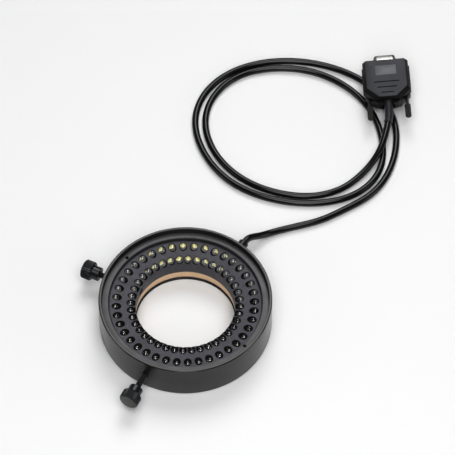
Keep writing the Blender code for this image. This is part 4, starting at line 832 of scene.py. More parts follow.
def finish(name, colour, fleck, scale, amount, rough, metallic=0.0, bump=0.0, marks=0.0, specular=0.5):
    """Material with fine grain, and where asked turning marks and metal."""
    material, tree, shader = new_material(name)
    grain = add_node(tree, "Group", {
        "Colour": (*colour, 1), "Fleck": (*fleck, 1), "Scale": scale, "Fleck Amount": amount,
        "Roughness Low": rough[0], "Roughness High": rough[1]}, node_tree=grain_group()).outputs
    heights = [(grain["Height"], bump)] if bump else []
    if marks:
        turning = add_node(tree, "Group", {}, node_tree=turning_group())
        heights.append((turning.outputs["Height"], marks))
    normal = {}
    for height, depth in heights:
        raised = add_node(tree, "Bump", {"Strength": 1.0, "Distance": depth, "Height": height, **normal})
        normal = {"Normal": raised.outputs["Normal"]}
    feed(tree, shader, {"Base Color": grain["Colour"], "Roughness": grain["Roughness"],
                        "Metallic": metallic, "Specular IOR Level": specular, **normal})
    material.diffuse_color = (*colour, 1)
    return material


def set_colour(group, name):
    """Colour that one of the groups of settings gives."""
    return tuple(getattr(getattr(bpy.context.scene, "ring_light_" + group), name))


@cache
def material_of(slot):
    """The finish of a slot or of a part's face, made at its first use."""
    colour, fleck, *rest = FINISHES[slot]
    if isinstance(colour[0], str):
        colour = set_colour(*colour)
    if isinstance(fleck, float):
        fleck = tuple(min(1.0, part * fleck) for part in colour)
    elif isinstance(fleck[0], str):
        fleck = set_colour(*fleck)
    return finish(slot, colour, fleck, *rest)


def paint(mesh, chosen, slot):
    """Give the chosen faces of a mesh a second finish."""
    mesh.materials.append(material_of(slot))
    mesh.polygons.foreach_set("material_index", chosen.astype(np.int32))


def paint_hole_shade(mesh, frames, radius, depth):
    """Painted shade: deep black on each hole's wall and bottom, where shade falls: r within R, and square to
    the axis or at the bottom.
    """
    normals = triples(mesh.polygons, "normal")
    centres = with_ones(triples(mesh.polygons, "center"))
    shaded_faces = np.zeros(len(normals), bool)
    for place in frames:
        x, y, height, _ = (centres @ np.array(place.inverted()).T).T
        wall = np.abs(normals @ np.array(place)[:3, 2]) < WALL_SLANT
        bottom = height < -BOTTOM_SHARE * depth
        near = (np.hypot(x, y) < HOLE_MARGIN * radius) & (np.abs(height) < HOLE_MARGIN * depth)
        shaded_faces |= (wall | bottom) & near
    paint(mesh, shaded_faces, "deep_black")


# Pieces

def add_piece(name, mesh, slot, nodes, body="ring_light", material=None):
    """Add a finished mesh that rides on a body, has the given material or else a slot's finish, and hides the
    CAD nodes it stands for.
    """
    piece = new_object(name, mesh)
    mesh.materials.clear()
    mesh.materials.append(material or material_of(slot))
    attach(piece, body)
    if nodes:
        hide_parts(*nodes)
    return piece


class MakeStage(bpy.types.Operator):
    """Add the camera, the pale floor and the soft lights"""
    bl_idname = "ring_light.stage"
    bl_label = "Stage"

    def execute(self, context):
        """Camera first, then floor, fill light and soft lights."""
        scene, stage = context.scene, context.scene.ring_light_stage
        target = Vector(CAMERA_TARGET)
        self.add_camera(scene, target)
        corners = [(x * FLOOR_REACH, y * FLOOR_REACH, 0) for x, y in ((-1, -1), (1, -1), (1, 1), (-1, 1))]
        floor = new_object("floor", bpy.data.meshes.new("floor"))
        floor.data.from_pydata(corners, [], [(0, 1, 2, 3)])
        floor.data.materials.append(material_of("floor_paper"))
        world = scene.world = bpy.data.worlds.new("studio")
        world.use_nodes = True
        feed(world.node_tree, world.node_tree.nodes["Background"],
             {"Color": (1, 1, 1, 1), "Strength": stage.fill_strength})
        for name, place, size, share in LIGHTS:
            light = bpy.data.lights.new(name, "AREA")
            light.shape = "DISK"
            light.size = size
            light.energy = share * stage.key_power
            lamp = new_object(name, light)
            lamp.location = place
            lamp.rotation_euler = (target - Vector(place)).to_track_quat("-Z", "Y").to_euler()
        scene.view_settings.view_transform = "Standard"
        scene.view_settings.gamma = stage.contrast
        return {"FINISHED"}

    def add_camera(self, scene, target):
        """Camera at the photograph's angle, looking level with the table's X axis."""
        rise = math.radians(CAMERA_ELEVATION)
        data = bpy.data.cameras.new("camera")
        data.lens = CAMERA_LENS
        data.clip_start, data.clip_end = CAMERA_CLIP
        scene.camera = new_object("camera", data)
        scene.camera.location = target + CAMERA_DISTANCE * Vector((0, -math.cos(rise), math.sin(rise)))
        scene.camera.rotation_euler = (math.pi / 2 - rise, 0, 0)


def cable_points(count):
    """Centre line of the cable: straight out of the gland, along the route, straight into the boot."""
    start = HOUSING_RADIUS + GLAND_LENGTH + GAP
    leaving = [polar(start + run, GLAND_ANGLE, GLAND_HEIGHT) for run in (0, CABLE_STRAIGHT)]
    points = smooth_path(leaving + list(CABLE_ROUTE), count)
    end = np.array(CABLE_ROUTE[-1])
    last = end - CABLE_STRAIGHT * np.array(boot_direction())
    points = np.concatenate((points[:1], leaving[1:], points[1:-1], [last, end]))
    points[:, 2] = np.maximum(points[:, 2], CABLE_RADIUS)
    return points


def boot_direction():
    """Direction in which the cable runs into the boot."""
    return (Vector(CABLE_ROUTE[-1]) - Vector(CABLE_ROUTE[-2])).normalized()


class MakeCable(bpy.types.Operator):
    """Build the cable with its gland and moulded boot"""
    bl_idname = "ring_light.cable"
    bl_label = "Cable"

    def execute(self, context):
        """The cable is one tube along its whole length; the gland and the boot follow."""
        cable = context.scene.ring_light_cable
        points = cable_points(CABLE_MARKS)
        fine = smooth_path(points, CABLE_RINGS)
        fine[:, 2] = np.maximum(fine[:, 2], CABLE_RADIUS)
        mesh = tube("cable_jacket", fine, cable.diameter / 2)
        piece = add_piece("cable_jacket", mesh, "cable_black", ["cable"])
        self.add_gland()
        self.add_boot()
        return {"FINISHED"}

    def add_gland(self):
        """Tapered sleeve on a plain stub, through the wall."""
        wall = HOUSING_RADIUS + GAP
        end = HOUSING_RADIUS + GLAND_LENGTH
        stub = BODY_BORE_RADIUS - GLAND_STUB_REACH
        profile = [(0, end), (GLAND_TIP_RADIUS - GLAND_CHAMFER, end), (GLAND_TIP_RADIUS, end - GLAND_CHAMFER),
                   (GLAND_ROOT_RADIUS, wall + GLAND_CHAMFER, wall), (GLAND_STUB_RADIUS, wall, stub),
                   (0, stub)]
        mesh = moved(turned("gland_sleeve", profile, FINE_SIDES, False), radial(GLAND_ANGLE, GLAND_HEIGHT))
        add_piece("gland_sleeve", mesh, "rubber", ["cable_gland"])

    def add_boot(self):
        """Boot with a flange inside the hood, a slow taper and a small band at the cable's end."""
        towards = boot_direction()
        end = Vector(CABLE_ROUTE[-1]) + towards * GAP
        flange_end = BOOT_START + BOOT_FLANGE_LENGTH
        runs = (BOOT_START, flange_end, flange_end + GAP / 3,
                flange_end + 2 * GAP, flange_end + BOOT_FLANGE_LENGTH)
        marks = [CONNECTOR_FRAME @ Vector((0, -run, 0)) for run in runs]
        taper = smooth_path(marks[3:] + [end + towards * BOOT_TIP_RADIUS, end], BOOT_RINGS)
        share = np.linspace(0, 1, BOOT_RINGS)
        radii = BOOT_ROOT_RADIUS + share * (BOOT_TIP_RADIUS - BOOT_ROOT_RADIUS)
        radii = radii + BOOT_BAND[1] * (share > BOOT_BAND[0]) - BOOT_MOUTH[1] * (share > BOOT_MOUTH[0])
        radii = np.concatenate(([BOOT_FLANGE_RADIUS, BOOT_FLANGE_RADIUS, BOOT_ROOT_RADIUS], radii))
        mesh = tube("moulded_boot", np.concatenate((np.array(marks[:3]), taper)), radii, PLAIN_SIDES)
        add_piece("moulded_boot", mesh, "rubber", ["connector_boot"], material=material_of("boot_black"))


class MakeRing(bpy.types.Operator):
    """Build the housing, the lamp plate, the retaining ring and the liner"""
    bl_idname = "ring_light.ring"
    bl_label = "Ring"

    def execute(self, context):
        """Turned pieces, carved where screws, cable and lamps go through."""
        self.add_housing()
        self.add_plate(context.scene.ring_light_ring)
        self.add_retainer()
        profile = [(LINER_BORE_RADIUS + LINER_WALL, LINER_TOP, LINER_BOTTOM),
                   (LINER_BORE_RADIUS, LINER_BOTTOM, LINER_TOP)]
        add_piece("bore_ring", turned("bore_ring", profile, RING_SIDES), "copper_tan", ["bore_liner"])
        return {"FINISHED"}

    def add_housing(self):
        """Turned cup with its floor, posts and bores."""
        seat = LIP_BOTTOM - GAP
        profile = [(HOUSING_RADIUS - RIM_CHAMFER, HOUSING_HEIGHT),
                   (HOUSING_RADIUS, HOUSING_HEIGHT - RIM_CHAMFER, FOOT_CHAMFER),
                   (HOUSING_RADIUS - FOOT_CHAMFER, 0), (FLOOR_BORE_RADIUS, 0, FLOOR_THICKNESS),
                   (BODY_BORE_RADIUS, FLOOR_THICKNESS, seat), (RIM_BORE_RADIUS, seat, HOUSING_HEIGHT)]
        cup = turned("housing_cup", profile, RING_SIDES)
        places = [Matrix.Translation(polar(POST_CIRCLE_RADIUS, angle, 0)) for angle in POST_ANGLES]
        posts = rods(places, POST_RADIUS, FLOOR_THICKNESS / 2, POST_TOP, ROUND_SIDES)
        taps = rods(places, POST_BORE_RADIUS, FLOOR_THICKNESS, POST_TOP + OVERRUN, SMALL_SIDES)
        gland = moved(rod("gland_hole", GLAND_STUB_RADIUS + GAP, BODY_BORE_RADIUS - OVERRUN,
                          HOUSING_RADIUS + OVERRUN), radial(GLAND_ANGLE, GLAND_HEIGHT))
        mesh = carved(cup, [taps, gland, clamp_bores()], [posts])
        add_piece("housing_cup", mesh, "anodised", ["housing"])
        # Painted shade: the wall of the floor's bore is painted deep black
        paint_hole_shade(mesh, [Matrix.Translation((0, 0, FLOOR_THICKNESS))], FLOOR_BORE_RADIUS, FLOOR_THICKNESS)

    def add_plate(self, ring):
        """Dished plate with leaning holes and a skirt."""
        skirt, lip, foot = PLATE_BORE_RADIUS + SKIRT_WALL, RIM_BORE_RADIUS - GAP, LINER_TOP + GAP
        profile = [(PLATE_FACE_RADIUS, FACE_EDGE_HEIGHT, LIP_TOP), (lip, LIP_TOP, LIP_BOTTOM),
                   (PLATE_FACE_RADIUS, LIP_BOTTOM), (skirt, FACE_BORE_HEIGHT - PLATE_THICKNESS, foot),
                   (PLATE_BORE_RADIUS, foot, FACE_BORE_HEIGHT)]
        blank = turned("lamp_plate", profile, RING_SIDES)
        frames = [each for _, radius, phase in lamp_rows(ring) for each in row_frames(radius, phase, ring)]
        holes = rods(frames, LAMP_HOLE_RADIUS, -STRIP_DEPTH, OVERRUN, LAMP_HOLE_SIDES)
        mesh = carved(blank, [holes, clamp_bores()])
        add_piece("lamp_plate", mesh, "plate_black", ["led_plate"])
        # Painted shade: each lamp hole's wall and bottom are painted deep black
        paint_hole_shade(mesh, frames, LAMP_HOLE_RADIUS, STRIP_DEPTH)

    def add_retainer(self):
        """Flat ring with two spanner holes."""
        profile = [(RIM_BORE_RADIUS - GAP, RETAINER_TOP, RETAINER_BOTTOM),
                   (RETAINER_BORE_RADIUS, RETAINER_BOTTOM, RETAINER_TOP - RETAINER_CHAMFER),
                   (RETAINER_BORE_RADIUS + RETAINER_CHAMFER, RETAINER_TOP)]
        blank = turned("clamp_ring", profile, RING_SIDES, True, EDGE / 2)
        tops = [Matrix.Translation(polar(SPANNER_CIRCLE_RADIUS, SPANNER_ANGLE + half, RETAINER_TOP))
                for half in (0, 180)]
        mesh = carved(blank, [rods(tops, SPANNER_RADIUS, -SPANNER_DEPTH, OVERRUN, ROUND_SIDES)])
        add_piece("clamp_ring", mesh, "anodised", ["retaining_ring"], material=material_of("ring_face"))
        # Painted shade: the spanner holes are painted deep black
        paint_hole_shade(mesh, tops, SPANNER_RADIUS, SPANNER_DEPTH)


class MakeLamps(bpy.types.Operator):
    """Build both rows of lamps: clear dome, phosphor and black base on its strip"""
    bl_idname = "ring_light.lamps"
    bl_label = "Lamps"

    def execute(self, context):
        """The dome is solid clear resin, so the phosphor fills it only for an eye in the beam."""
        ring = context.scene.ring_light_ring
        clear, tree, shader = new_material("clear_resin")
        feed(tree, shader, RESIN)
        cup, phosphor = self.cup(ring), self.phosphor(ring)
        dome = self.dome()
        low, high = -STRIP_DEPTH - STRIP_THICKNESS / 2, -LAMP_DEPTH - BASE_GAP
        for name, radius, phase in lamp_rows(ring):
            frames = row_frames(radius, phase, ring)
            seats = rods(frames, LAMP_BASE_RADIUS, low, high, SMALL_SIDES)
            seats = joined(name + "_lamp_seats", seats, self.strip(radius, ring))
            seats = carved(seats, [clamp_bores()])
            add_piece(name + "_lamp_seats", seats, "lens", [name + "_led_strip"])
            domes = copies(name + "_domes", dome, frames)
            add_piece(name + "_lamp_domes", domes, "lens", (), material=clear)
            # The fourth material is black painted shade for the domes' walls
            for each in (cup, phosphor, material_of("deep_black")):
                domes.materials.append(each)
            self.fill_domes(domes, dome, len(frames))
        return {"FINISHED"}

    def cup(self, ring):
        """Finish of the lamps' base with a painted glow, and flecks as painted glints, so that the domes read
        grey.
        """
        material = material_of("lamp_cup")
        tree = material.node_tree
        feed(tree, tree.nodes["Principled BSDF"],
             {"Emission Color": (1.0, 1.0, 1.0, 1), "Emission Strength": ring.cup_painted_glow})
        return material

    def phosphor(self, ring):
        """Disc with a painted glow, standing in for the light that reaches it through the resin, and painted
        shade running from its outer to its inner edge by the mesh's own attribute.
        """
        material = material_of("phosphor")
        tree = material.node_tree
        across = add_node(tree, "Attribute", {}, attribute_name="across").outputs["Fac"]
        # Painted light and shade: pale inner colour to painted shade at the outer edge, and a painted glow
        light = mix_colours(tree, across, (*ring.phosphor_colour, 1), (*ring.phosphor_painted_shade, 1))
        feed(tree, tree.nodes["Principled BSDF"],
             {"Emission Color": light, "Emission Strength": ring.phosphor_painted_glow})
        return material

    def dome(self):
        """Half ball on a short cylinder: r = R sin t and z = stand - R (1 - cos t), then straight down."""
        turn = np.linspace(0, math.pi / 2, LAMP_STEPS)
        radius = LAMP_RADIUS * np.sin(turn)
        height = LAMP_STAND - LAMP_RADIUS * (1 - np.cos(turn))
        profile = [*zip(radius, height), *((edge, -LAMP_DEPTH) for edge in (LAMP_RADIUS, PHOSPHOR_RADIUS, 0))]
        return turned("dome", profile, LAMP_SIDES, False, 0)

    def fill_domes(self, mesh, one, lamps):
        """Second material on each lamp's base, with a painted glow, third on the disc in its middle, and
        fourth, black painted shade, on the wall.

        The attribute across, the share of painted shade, is 0.75 (1 + x / R) over the disc, with x along the
        lamp's own outward axis.
        """
        x, y, height = triples(one.polygons, "center").T
        base = height < GAP - LAMP_DEPTH
        disc = base & (np.hypot(x, y) < PHOSPHOR_RADIUS)
        wall = ~base & (height < LAMP_STAND - LAMP_RADIUS - BASE_GAP)
        mesh.polygons.foreach_set("material_index", np.tile(base.astype(np.int32) + disc + 3 * wall, lamps))
        out = triples(one.vertices, "co")[:, 0] / PHOSPHOR_RADIUS
        across = np.tile(np.clip(PHOSPHOR_GRADIENT * (1 + out), 0, 1), lamps)
        mesh.attributes.new("across", "FLOAT", "POINT").data.foreach_set("value", across)

    def strip(self, row, ring):
        """Conical strip square to the lamps' beams."""
        lean = ring.tilt
        corners = []
        for depth, aside in ((0, 1), (1, 1), (1, -1), (0, -1)):
            down = STRIP_DEPTH + depth * STRIP_THICKNESS
            out = aside * STRIP_HALF_WIDTH
            corners.append((row + down * math.sin(lean) + out * math.cos(lean),
                            face_height(row) - down * math.cos(lean) + out * math.sin(lean)))
        return turned("strip", corners, STRIP_SIDES, True, 0)


class MakeClamps(bpy.types.Operator):
    """Build both clamping screws: knob, threaded shank and pad"""
    bl_idname = "ring_light.clamps"
    bl_label = "Clamping screws"

    def execute(self, context):
        """Each screw is made about Z and laid along its own radius."""
        for side, angle, rest in CLAMPS:
            place = radial(angle, CLAMP_HEIGHT, rest)
            screw = side + "_clamp_screw"
            knob = self.knob()
            ends = triples(knob.polygons, "center")[:, 2] > NECK_LENGTH + HEAD_LENGTH - EDGE / 3
            add_piece("knob_" + side, moved(knob, place), "knob_black", ["clamp_knob_" + side], screw)
            paint(knob, ends, "knob_face")
            shank, pad = moved(self.shank(), place), moved(self.pad(), place)
            add_piece("shank_" + side, shank, "black_steel", ["clamp_shank_" + side], screw)
            add_piece("pad_" + side, pad, "nylon", ["clamp_pad_" + side], side + "_clamp_tip")
        return {"FINISHED"}

    def knob(self):
        """Smooth neck and fluted head: r = R - d (0.5 + 0.5 cos(n u))^0.7 where the head is widest."""
        start, end = NECK_LENGTH, NECK_LENGTH + HEAD_LENGTH
        drawn = HEAD_RADIUS - KNOB_CHAMFER
        profile = [(0, end), (drawn, end), (HEAD_RADIUS, end - KNOB_CHAMFER, start + KNOB_CHAMFER),
                   (drawn, start), (NECK_RADIUS, start, 0), (SHANK_RADIUS + GAP, 0, KNOB_BORE_DEPTH),
                   (0, KNOB_BORE_DEPTH)]

        def flutes(turn, height, radius):
            """Radius with the flutes pressed in, fading over the chamfers."""
            share = np.clip((radius - drawn) / (KNOB_CHAMFER / 2), 0, 1)
            return radius - FLUTE_DEPTH * share * (0.5 + 0.5 * np.cos(KNOB_FLUTES * turn)) ** FLUTE_POWER

        return turned("knob", profile, FLUTE_STEPS * KNOB_FLUTES, False, EDGE, flutes)

    def shank(self):
        """Threaded rod: r = R - d t, where t is a rounded tooth of z / pitch - u / 2 pi."""
        pad_back = PAD_THICKNESS - CLAMP_REACH
        low, high = pad_back + GAP, KNOB_BORE_DEPTH - GAP
        socket_end = pad_back + PEG_LENGTH + GAP
        heights = np.arange(high, low, -THREAD_PITCH / THREAD_STEPS)
        profile = [(0, high), (SHANK_RADIUS, *heights, low), (PEG_RADIUS + GAP, low, socket_end),
                   (0, socket_end)]

        def thread(turn, height, radius):
            """Radius with the thread cut in, and none at the ends."""
            tooth = 0.5 - 0.5 * np.cos(2 * math.pi * height / THREAD_PITCH - turn)
            share = np.clip(np.minimum(high - height, height - low) / THREAD_PITCH, 0, 1)
            outside = radius > SHANK_RADIUS - THREAD_DEPTH / 2
            return np.where(outside, radius - THREAD_DEPTH * share * tooth, radius)

        return turned("shank", profile, ROUND_SIDES, False, 0, thread)

    def pad(self):
        """Swivelling pad with its peg in the shank's end."""
        end = -CLAMP_REACH
        back = end + PAD_THICKNESS
        peg = back + PEG_LENGTH
        profile = [(0, peg), (PEG_RADIUS, peg, back), (SHANK_RADIUS, back, end + PAD_CHAMFER),
                   (SHANK_RADIUS - PAD_CHAMFER, end), (0, end)]
        return turned("pad", profile, PLAIN_SIDES, False)


# Connector outlines, drawn in width and depth or in width and height

def mirrored(half):
    """Close a half outline at +X with its mirror image."""
    return half + [(-across, along) for across, along in reversed(half)]


def cornered(half_width, length, corner):
    """Rectangle behind the front face with its rear corners cut off, corners rounded."""
    outline = mirrored([(half_width, 0), (half_width, corner - length), (half_width - corner, -length)])
    return rounded(outline, HOOD_ROUND)


def ledge_outline():
    """Lower ledge behind the hood: an arc round the boot."""
    first = math.acos((HOOD_LENGTH - HOOD_CORNER / 2 - LEDGE_CENTRE) / LEDGE_RADIUS)
    turns = first * (1 - np.arange(LEDGE_STEPS + 1) / LEDGE_STEPS)
    arc = list(zip(LEDGE_RADIUS * np.sin(turns), -LEDGE_CENTRE - LEDGE_RADIUS * np.cos(turns)))
    half = [(arc[0][0], -LEDGE_CENTRE / 2)] + arc
    return half + [(-across, along) for across, along in reversed(half) if across]


def flange_outline(spare):
    """Flange of the metal shell, grown by a spare distance all round."""
    across, up = FLANGE_HALF_WIDTH + spare, FLANGE_HALF_HEIGHT + spare
    return rounded(mirrored([(across - FLANGE_CORNER, up), (across, up - FLANGE_CORNER),
                             (across, FLANGE_CORNER - up), (across - FLANGE_CORNER, -up)]), HOOD_ROUND)


def shell_outline(inset):
    """Rounded D with its narrow side up, drawn in by an inset."""
    lean = math.tan(math.radians(SHELL_SIDE_ANGLE))
    high = SHELL_HALF_HEIGHT - inset
    wide = SHELL_HALF_WIDTH - inset * (lean + math.hypot(1, lean))
    narrow = wide - 2 * high * lean
    outline = mirrored([(narrow, high), (wide, -high)])
    return rounded(outline, SHELL_ROUND_SHARE * (SHELL_CORNER - inset), True, SHELL_STEPS)


def pair(across, along=0):
    """Places at both sides of the connector's middle, the left one first."""
    return [Matrix.Translation((side * across, along, 0)) for side in (-1, 1)]


class MakeConnector(bpy.types.Operator):
    """Build the connector: hood, label, metal shell, insulator, contacts and jackscrews"""
    bl_idname = "ring_light.connector"
    bl_label = "Connector"

    def execute(self, context):
        """Everything is made in the connector's own frame and carried to its place."""
        self.add_hood()
        self.add_shell()
        self.add_insulator()
        for name, place in zip(("left", "right"), pair(JACK_SPACING / 2)):
            mesh = moved(self.jackscrew(), CONNECTOR_FRAME @ (place @ FORWARD))
            add_piece("jack_" + name, mesh, "black_steel", ["jackscrew_" + name], name + "_jack_screw")
        return {"FINISHED"}

    def hood_cutters(self):
        """Shapes that hollow both hood shells."""
        slot_back = FRONT_LIP + FLANGE_THICKNESS + 2 * GAP
        tall = HOOD_HALF_HEIGHT - HOOD_WALL
        slot = moved(slab("slot", flange_outline(GAP), FRONT_LIP, slot_back), FACING)
        window = moved(slab("window", shell_outline(-GAP), -OVERRUN, slot_back), FACING)
        cavity = box("cavity", (-CAVITY_HALF_WIDTH, -BOOT_START - BOOT_FLANGE_LENGTH - GAP, -tall),
                     (CAVITY_HALF_WIDTH, -FRONT_LIP - FLANGE_THICKNESS, tall))
        bore = moved(rod("bore", BOOT_ROOT_RADIUS + BOOT_CLEARANCE, -LEDGE_CENTRE - LEDGE_RADIUS - OVERRUN,
                         -BOOT_START, FINE_SIDES), FORWARD)
        pocket = 2 * JACK_COLLAR_LENGTH + CLIP_THICKNESS + JACK_TRAVEL + 4 * GAP
        sides = [place @ FORWARD for place in pair(JACK_SPACING / 2)]
        channels = rods(sides, JACK_RADIUS + GAP, -JACK_END, OVERRUN, ROUND_SIDES)
        pockets = rods(sides, CLIP_RADIUS + GAP, -POCKET_BACK, pocket - POCKET_BACK, ROUND_SIDES)
        return [slot, window, cavity, bore, channels, pockets]

    def hood_shell(self, name, over, cuts):
        """Loft from the body outline up the wall, over the shoulder and on to the plateau, hollowed."""
        body = cornered(HOOD_HALF_WIDTH, HOOD_LENGTH, HOOD_CORNER)
        top = cornered(PLATEAU_HALF_WIDTH, PLATEAU_LENGTH, PLATEAU_CORNER)
        blank = lofted(name, [(body * (1 - share) + top * share, height) for share, height in HOOD_LAYERS])
        ledge = slab("ledge", ledge_outline(), LEDGE_FOOT, LEDGE_HEIGHT)
        grips = copies("grips", self.grip(), [Matrix(), Matrix.Scale(-1, 4, (1, 0, 0))])
        reach = 2 * HOOD_LENGTH
        parting = box("parting", (-reach, -reach, -reach), (reach, reach, GAP / 2))
        for mesh in (blank, ledge, grips, parting):
            mesh.transform(over)
        return carved(blank, [*self.hood_cutters(), parting, *cuts], [ledge, grips])

    def grip(self):
        """Toothed pad on one side of the hood."""
        pitch = GRIP_LENGTH / GRIP_NOTCHES
        outer = HOOD_HALF_WIDTH + GRIP_STAND
        outline = [(HOOD_HALF_WIDTH - GRIP_STAND, -GRIP_START)]
        for tooth in range(GRIP_NOTCHES):
            front = -GRIP_START - tooth * pitch
            back = front - pitch * (1 - GRIP_NOTCH_SHARE)
            outline += [(outer, front), (outer, back)]
            if tooth < GRIP_NOTCHES - 1:
                outline += [(outer - GRIP_STAND / 2, back), (outer - GRIP_STAND / 2, front - pitch)]
        outline.append((HOOD_HALF_WIDTH - GRIP_STAND, outline[-1][1]))
        count = len(outline)
        points = [(x, y, height) for height in (-OVERRUN / 2, GRIP_HALF_HEIGHT) for x, y in outline]
        faces = [(i, (i + 1) % count, count + (i + 1) % count, count + i) for i in range(count)]
        mesh = bpy.data.meshes.new("grip")
        mesh.from_pydata(points, [], faces + [tuple(range(count)), tuple(range(count, 2 * count))])
        return tidy_mesh(mesh)

    def add_hood(self):
        """Upper and lower shells and the blank label; the upper one's sides, and the whole lower shell, take
        a darker copy of the hood's finish as painted shade.
        """
        half_label, near, far = LABEL_LENGTH / 2 + GAP, GAP - LABEL_BACK, -LABEL_BACK - LABEL_DEPTH - GAP
        roof = HOOD_HALF_HEIGHT + OVERRUN
        cuts = [box("recess", (-half_label, far, HOOD_HALF_HEIGHT - LABEL_THICKNESS - GAP),
                    (half_label, near, roof))]
        for number, length in enumerate(GROOVE_LENGTHS):
            front = -GROOVE_START - number * GROOVE_PITCH
            cuts.append(box("groove", (-length / 2, front - GROOVE_WIDTH, HOOD_HALF_HEIGHT - GROOVE_DEPTH),
                            (length / 2, front, roof)))
        mesh = self.hood_shell("hood_top", Matrix(), cuts)
        # Painted shade: faces below the top take the darker copy of the hood's finish
        sides = triples(mesh.polygons, "center")[:, 2] < HOOD_HALF_HEIGHT - GROOVE_DEPTH / 2
        add_piece("hood_top", moved(mesh, CONNECTOR_FRAME), "hood_grey", ["hood_upper"])
        paint(mesh, sides, "hood_side")
        sinks = rods(pair(BOSS_ACROSS, -BOSS_BACK), SCREW_HEAD_RADIUS, -roof,
                     SCREW_HEAD_DEPTH - HOOD_HALF_HEIGHT, ROUND_SIDES)
        mesh = self.hood_shell("hood_base", Matrix.Rotation(math.radians(180), 4, "Y"), [sinks])
        mesh = moved(mesh, CONNECTOR_FRAME)
        # The lower shell takes the painted shade all over
        add_piece("hood_base", mesh, "hood_grey", ["hood_lower"], material=material_of("hood_side"))
        half_label -= LABEL_FIT
        outline = mirrored([(half_label, near - LABEL_FIT), (half_label, far + LABEL_FIT)])
        outline = rounded(outline, SHARP_ROUND)
        label = slab("label", outline, HOOD_HALF_HEIGHT - LABEL_THICKNESS, HOOD_HALF_HEIGHT, SHARP_ROUND)
        add_piece("blank_label", moved(label, CONNECTOR_FRAME), "label_grey", ["label_plate"])

    def add_shell(self):
        """Flange and D-shaped tube, hollow, with the jackscrews' holes; painted shade on all but the top."""
        front = FRONT_LIP + GAP
        back = front + FLANGE_THICKNESS
        reach = SHELL_REACH - front
        flange = slab("flange", flange_outline(0), front, back, SHARP_ROUND)
        outside = slab("d_tube", shell_outline(0), -reach, back - GAP, SHELL_EDGE)
        hollow = slab("d_hollow", shell_outline(SHELL_WALL), -reach - OVERRUN, back + OVERRUN)
        holes = rods(pair(JACK_SPACING / 2), JACK_RADIUS + GAP, front - OVERRUN, back + OVERRUN, ROUND_SIDES)
        mesh = carved(flange, [hollow, holes], [outside])
        # Painted shade: faces whose normal rises less than the slant take a dark copy of the tin
        shaded_metal = triples(mesh.polygons, "normal")[:, 1] < SHELL_TOP_SLANT
        add_piece("d_shell", moved(mesh, CONNECTOR_FRAME @ FACING), "tin", ["connector_shell"])
        paint(mesh, shaded_metal, "dark_tin")

    def add_insulator(self):
        """Insulator with nine holes and a socket contact in each."""
        place = CONNECTOR_FRAME @ FACING
        flange_back = FRONT_LIP + GAP + FLANGE_THICKNESS
        face = FRONT_LIP + GAP - SHELL_REACH + INSULATOR_RECESS
        back = flange_back + INSULATOR_LENGTH
        core = slab("core", shell_outline(SHELL_WALL + GAP), face, back)
        collar = slab("collar", shell_outline(0), flange_back + GAP, flange_back + GAP + INSULATOR_COLLAR)
        places = [Matrix.Translation(((k - (count - 1) / 2) * CONTACT_PITCH, up, 0))
                  for count, up in ((5, -CONTACT_ROWS / 2), (4, CONTACT_ROWS / 2)) for k in range(count)]
        holes = rods(places, CONTACT_RADIUS + GAP, face - OVERRUN, back + OVERRUN, SMALL_SIDES)
        mesh = carved(core, [holes], [collar])
        add_piece("insulator_block", moved(mesh, place), "insulator", ["connector_insulator"])
        start, end = face + CONTACT_RECESS, back + CONTACT_TAIL
        slot = start + CONTACT_SLOT_DEPTH
        profile = [(0, slot), (CONTACT_SLOT_RADIUS, slot, start), (CONTACT_RADIUS, start, end), (0, end)]
        sockets = copies("sockets", turned("socket", profile, SMALL_SIDES, False, SHARP_ROUND / 2), places)
        nodes = ["contact_%d" % (number + 1) for number in range(len(places))]
        add_piece("socket_contacts", moved(sockets, place), "gold", nodes)

    def jackscrew(self):
        """Long screw: r = R - d (0.5 + 0.5 cos(n u)) on the knurled tail."""
        first = -POCKET_BACK + GAP + 2 * JACK_COLLAR_LENGTH + CLIP_THICKNESS + 2 * GAP
        front = first - JACK_COLLAR_LENGTH
        back = front - CLIP_THICKNESS - 2 * GAP
        last = back - JACK_COLLAR_LENGTH
        tail = JACK_TAIL_LENGTH - JACK_END
        drawn = JACK_TAIL_RADIUS - JACK_CHAMFER
        profile = [(0, -JACK_SETBACK), (JACK_RADIUS - JACK_CHAMFER, -JACK_SETBACK),
                   (JACK_RADIUS, -JACK_SETBACK - JACK_CHAMFER, first), (JACK_COLLAR_RADIUS, first, front),
                   (JACK_RADIUS, front, back), (JACK_COLLAR_RADIUS, back, last),
                   (JACK_NECK_RADIUS, last, tail), (drawn, tail),
                   (JACK_TAIL_RADIUS, tail - JACK_CHAMFER, JACK_CHAMFER - JACK_END),
                   (drawn, -JACK_END), (0, -JACK_END)]

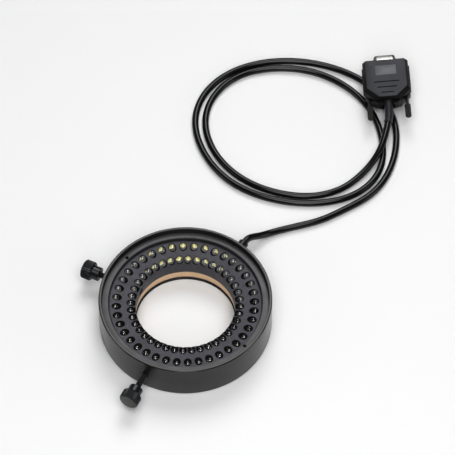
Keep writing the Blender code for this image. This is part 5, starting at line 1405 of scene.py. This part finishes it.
        def knurl(turn, height, radius):
            """Radius with the tail's fine flutes pressed in."""
            share = np.clip((radius - (JACK_TAIL_RADIUS - JACK_CHAMFER / 2)) / (JACK_CHAMFER / 4), 0, 1)
            return radius - KNURL_DEPTH * share * (height < tail) * (0.5 + 0.5 * np.cos(KNURL_FLUTES * turn))

        return turned("jackscrew", profile, KNURL_STEPS * KNURL_FLUTES, False, EDGE / 2, knurl)


class DressNodes(bpy.types.Operator):
    """Give every CAD node that still shows its finish"""
    bl_idname = "ring_light.nodes"
    bl_label = "Inner pieces"

    def execute(self, context):
        """NODE_SLOTS gives the slot each node's finish comes from."""
        for slot, names in NODE_SLOTS:
            for name in names:
                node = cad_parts[name]
                node.data.materials.clear()
                node.data.materials.append(material_of(slot))
        return {"FINISHED"}


class RingLightPanel(bpy.types.Panel):
    """Settings and steps of the ring light"""
    bl_idname = "VIEW3D_PT_ring_light"
    bl_label = "Ring light"
    bl_space_type = "VIEW_3D"
    bl_region_type = "UI"
    bl_category = "Ring light"

    def draw(self, context):
        """List each group's settings, then the steps."""
        scene = context.scene
        for group in (scene.ring_light_ring, scene.ring_light_cable, scene.ring_light_connector,
                      scene.ring_light_stage):
            column = self.layout.column(align=True)
            for name in group.__annotations__:
                column.prop(group, name)
        for step in STEPS:
            self.layout.operator(step.bl_idname)


SETTINGS = (("ring_light_ring", RingSettings), ("ring_light_cable", CableSettings),
            ("ring_light_connector", ConnectorSettings), ("ring_light_stage", StageSettings))
STEPS = (MakeStage, MakeConnector, MakeCable, MakeRing, MakeLamps, MakeClamps, DressNodes)
CLASSES = (*(group for _, group in SETTINGS), *STEPS, RingLightPanel)


def register():
    """Register the classes and hang the settings on the scene."""
    for each in CLASSES:
        bpy.utils.register_class(each)
    for name, group in SETTINGS:
        setattr(bpy.types.Scene, name, PointerProperty(type=group))


def unregister():
    """Take the settings and classes away again."""
    for name, _ in SETTINGS:
        delattr(bpy.types.Scene, name)
    for each in reversed(CLASSES):
        bpy.utils.unregister_class(each)


def main():
    """Build the looks in order."""
    register()
    for step in STEPS:
        area, action = step.bl_idname.split(".")
        getattr(getattr(bpy.ops, area), action)()


if __name__ == "__main__":
    main()
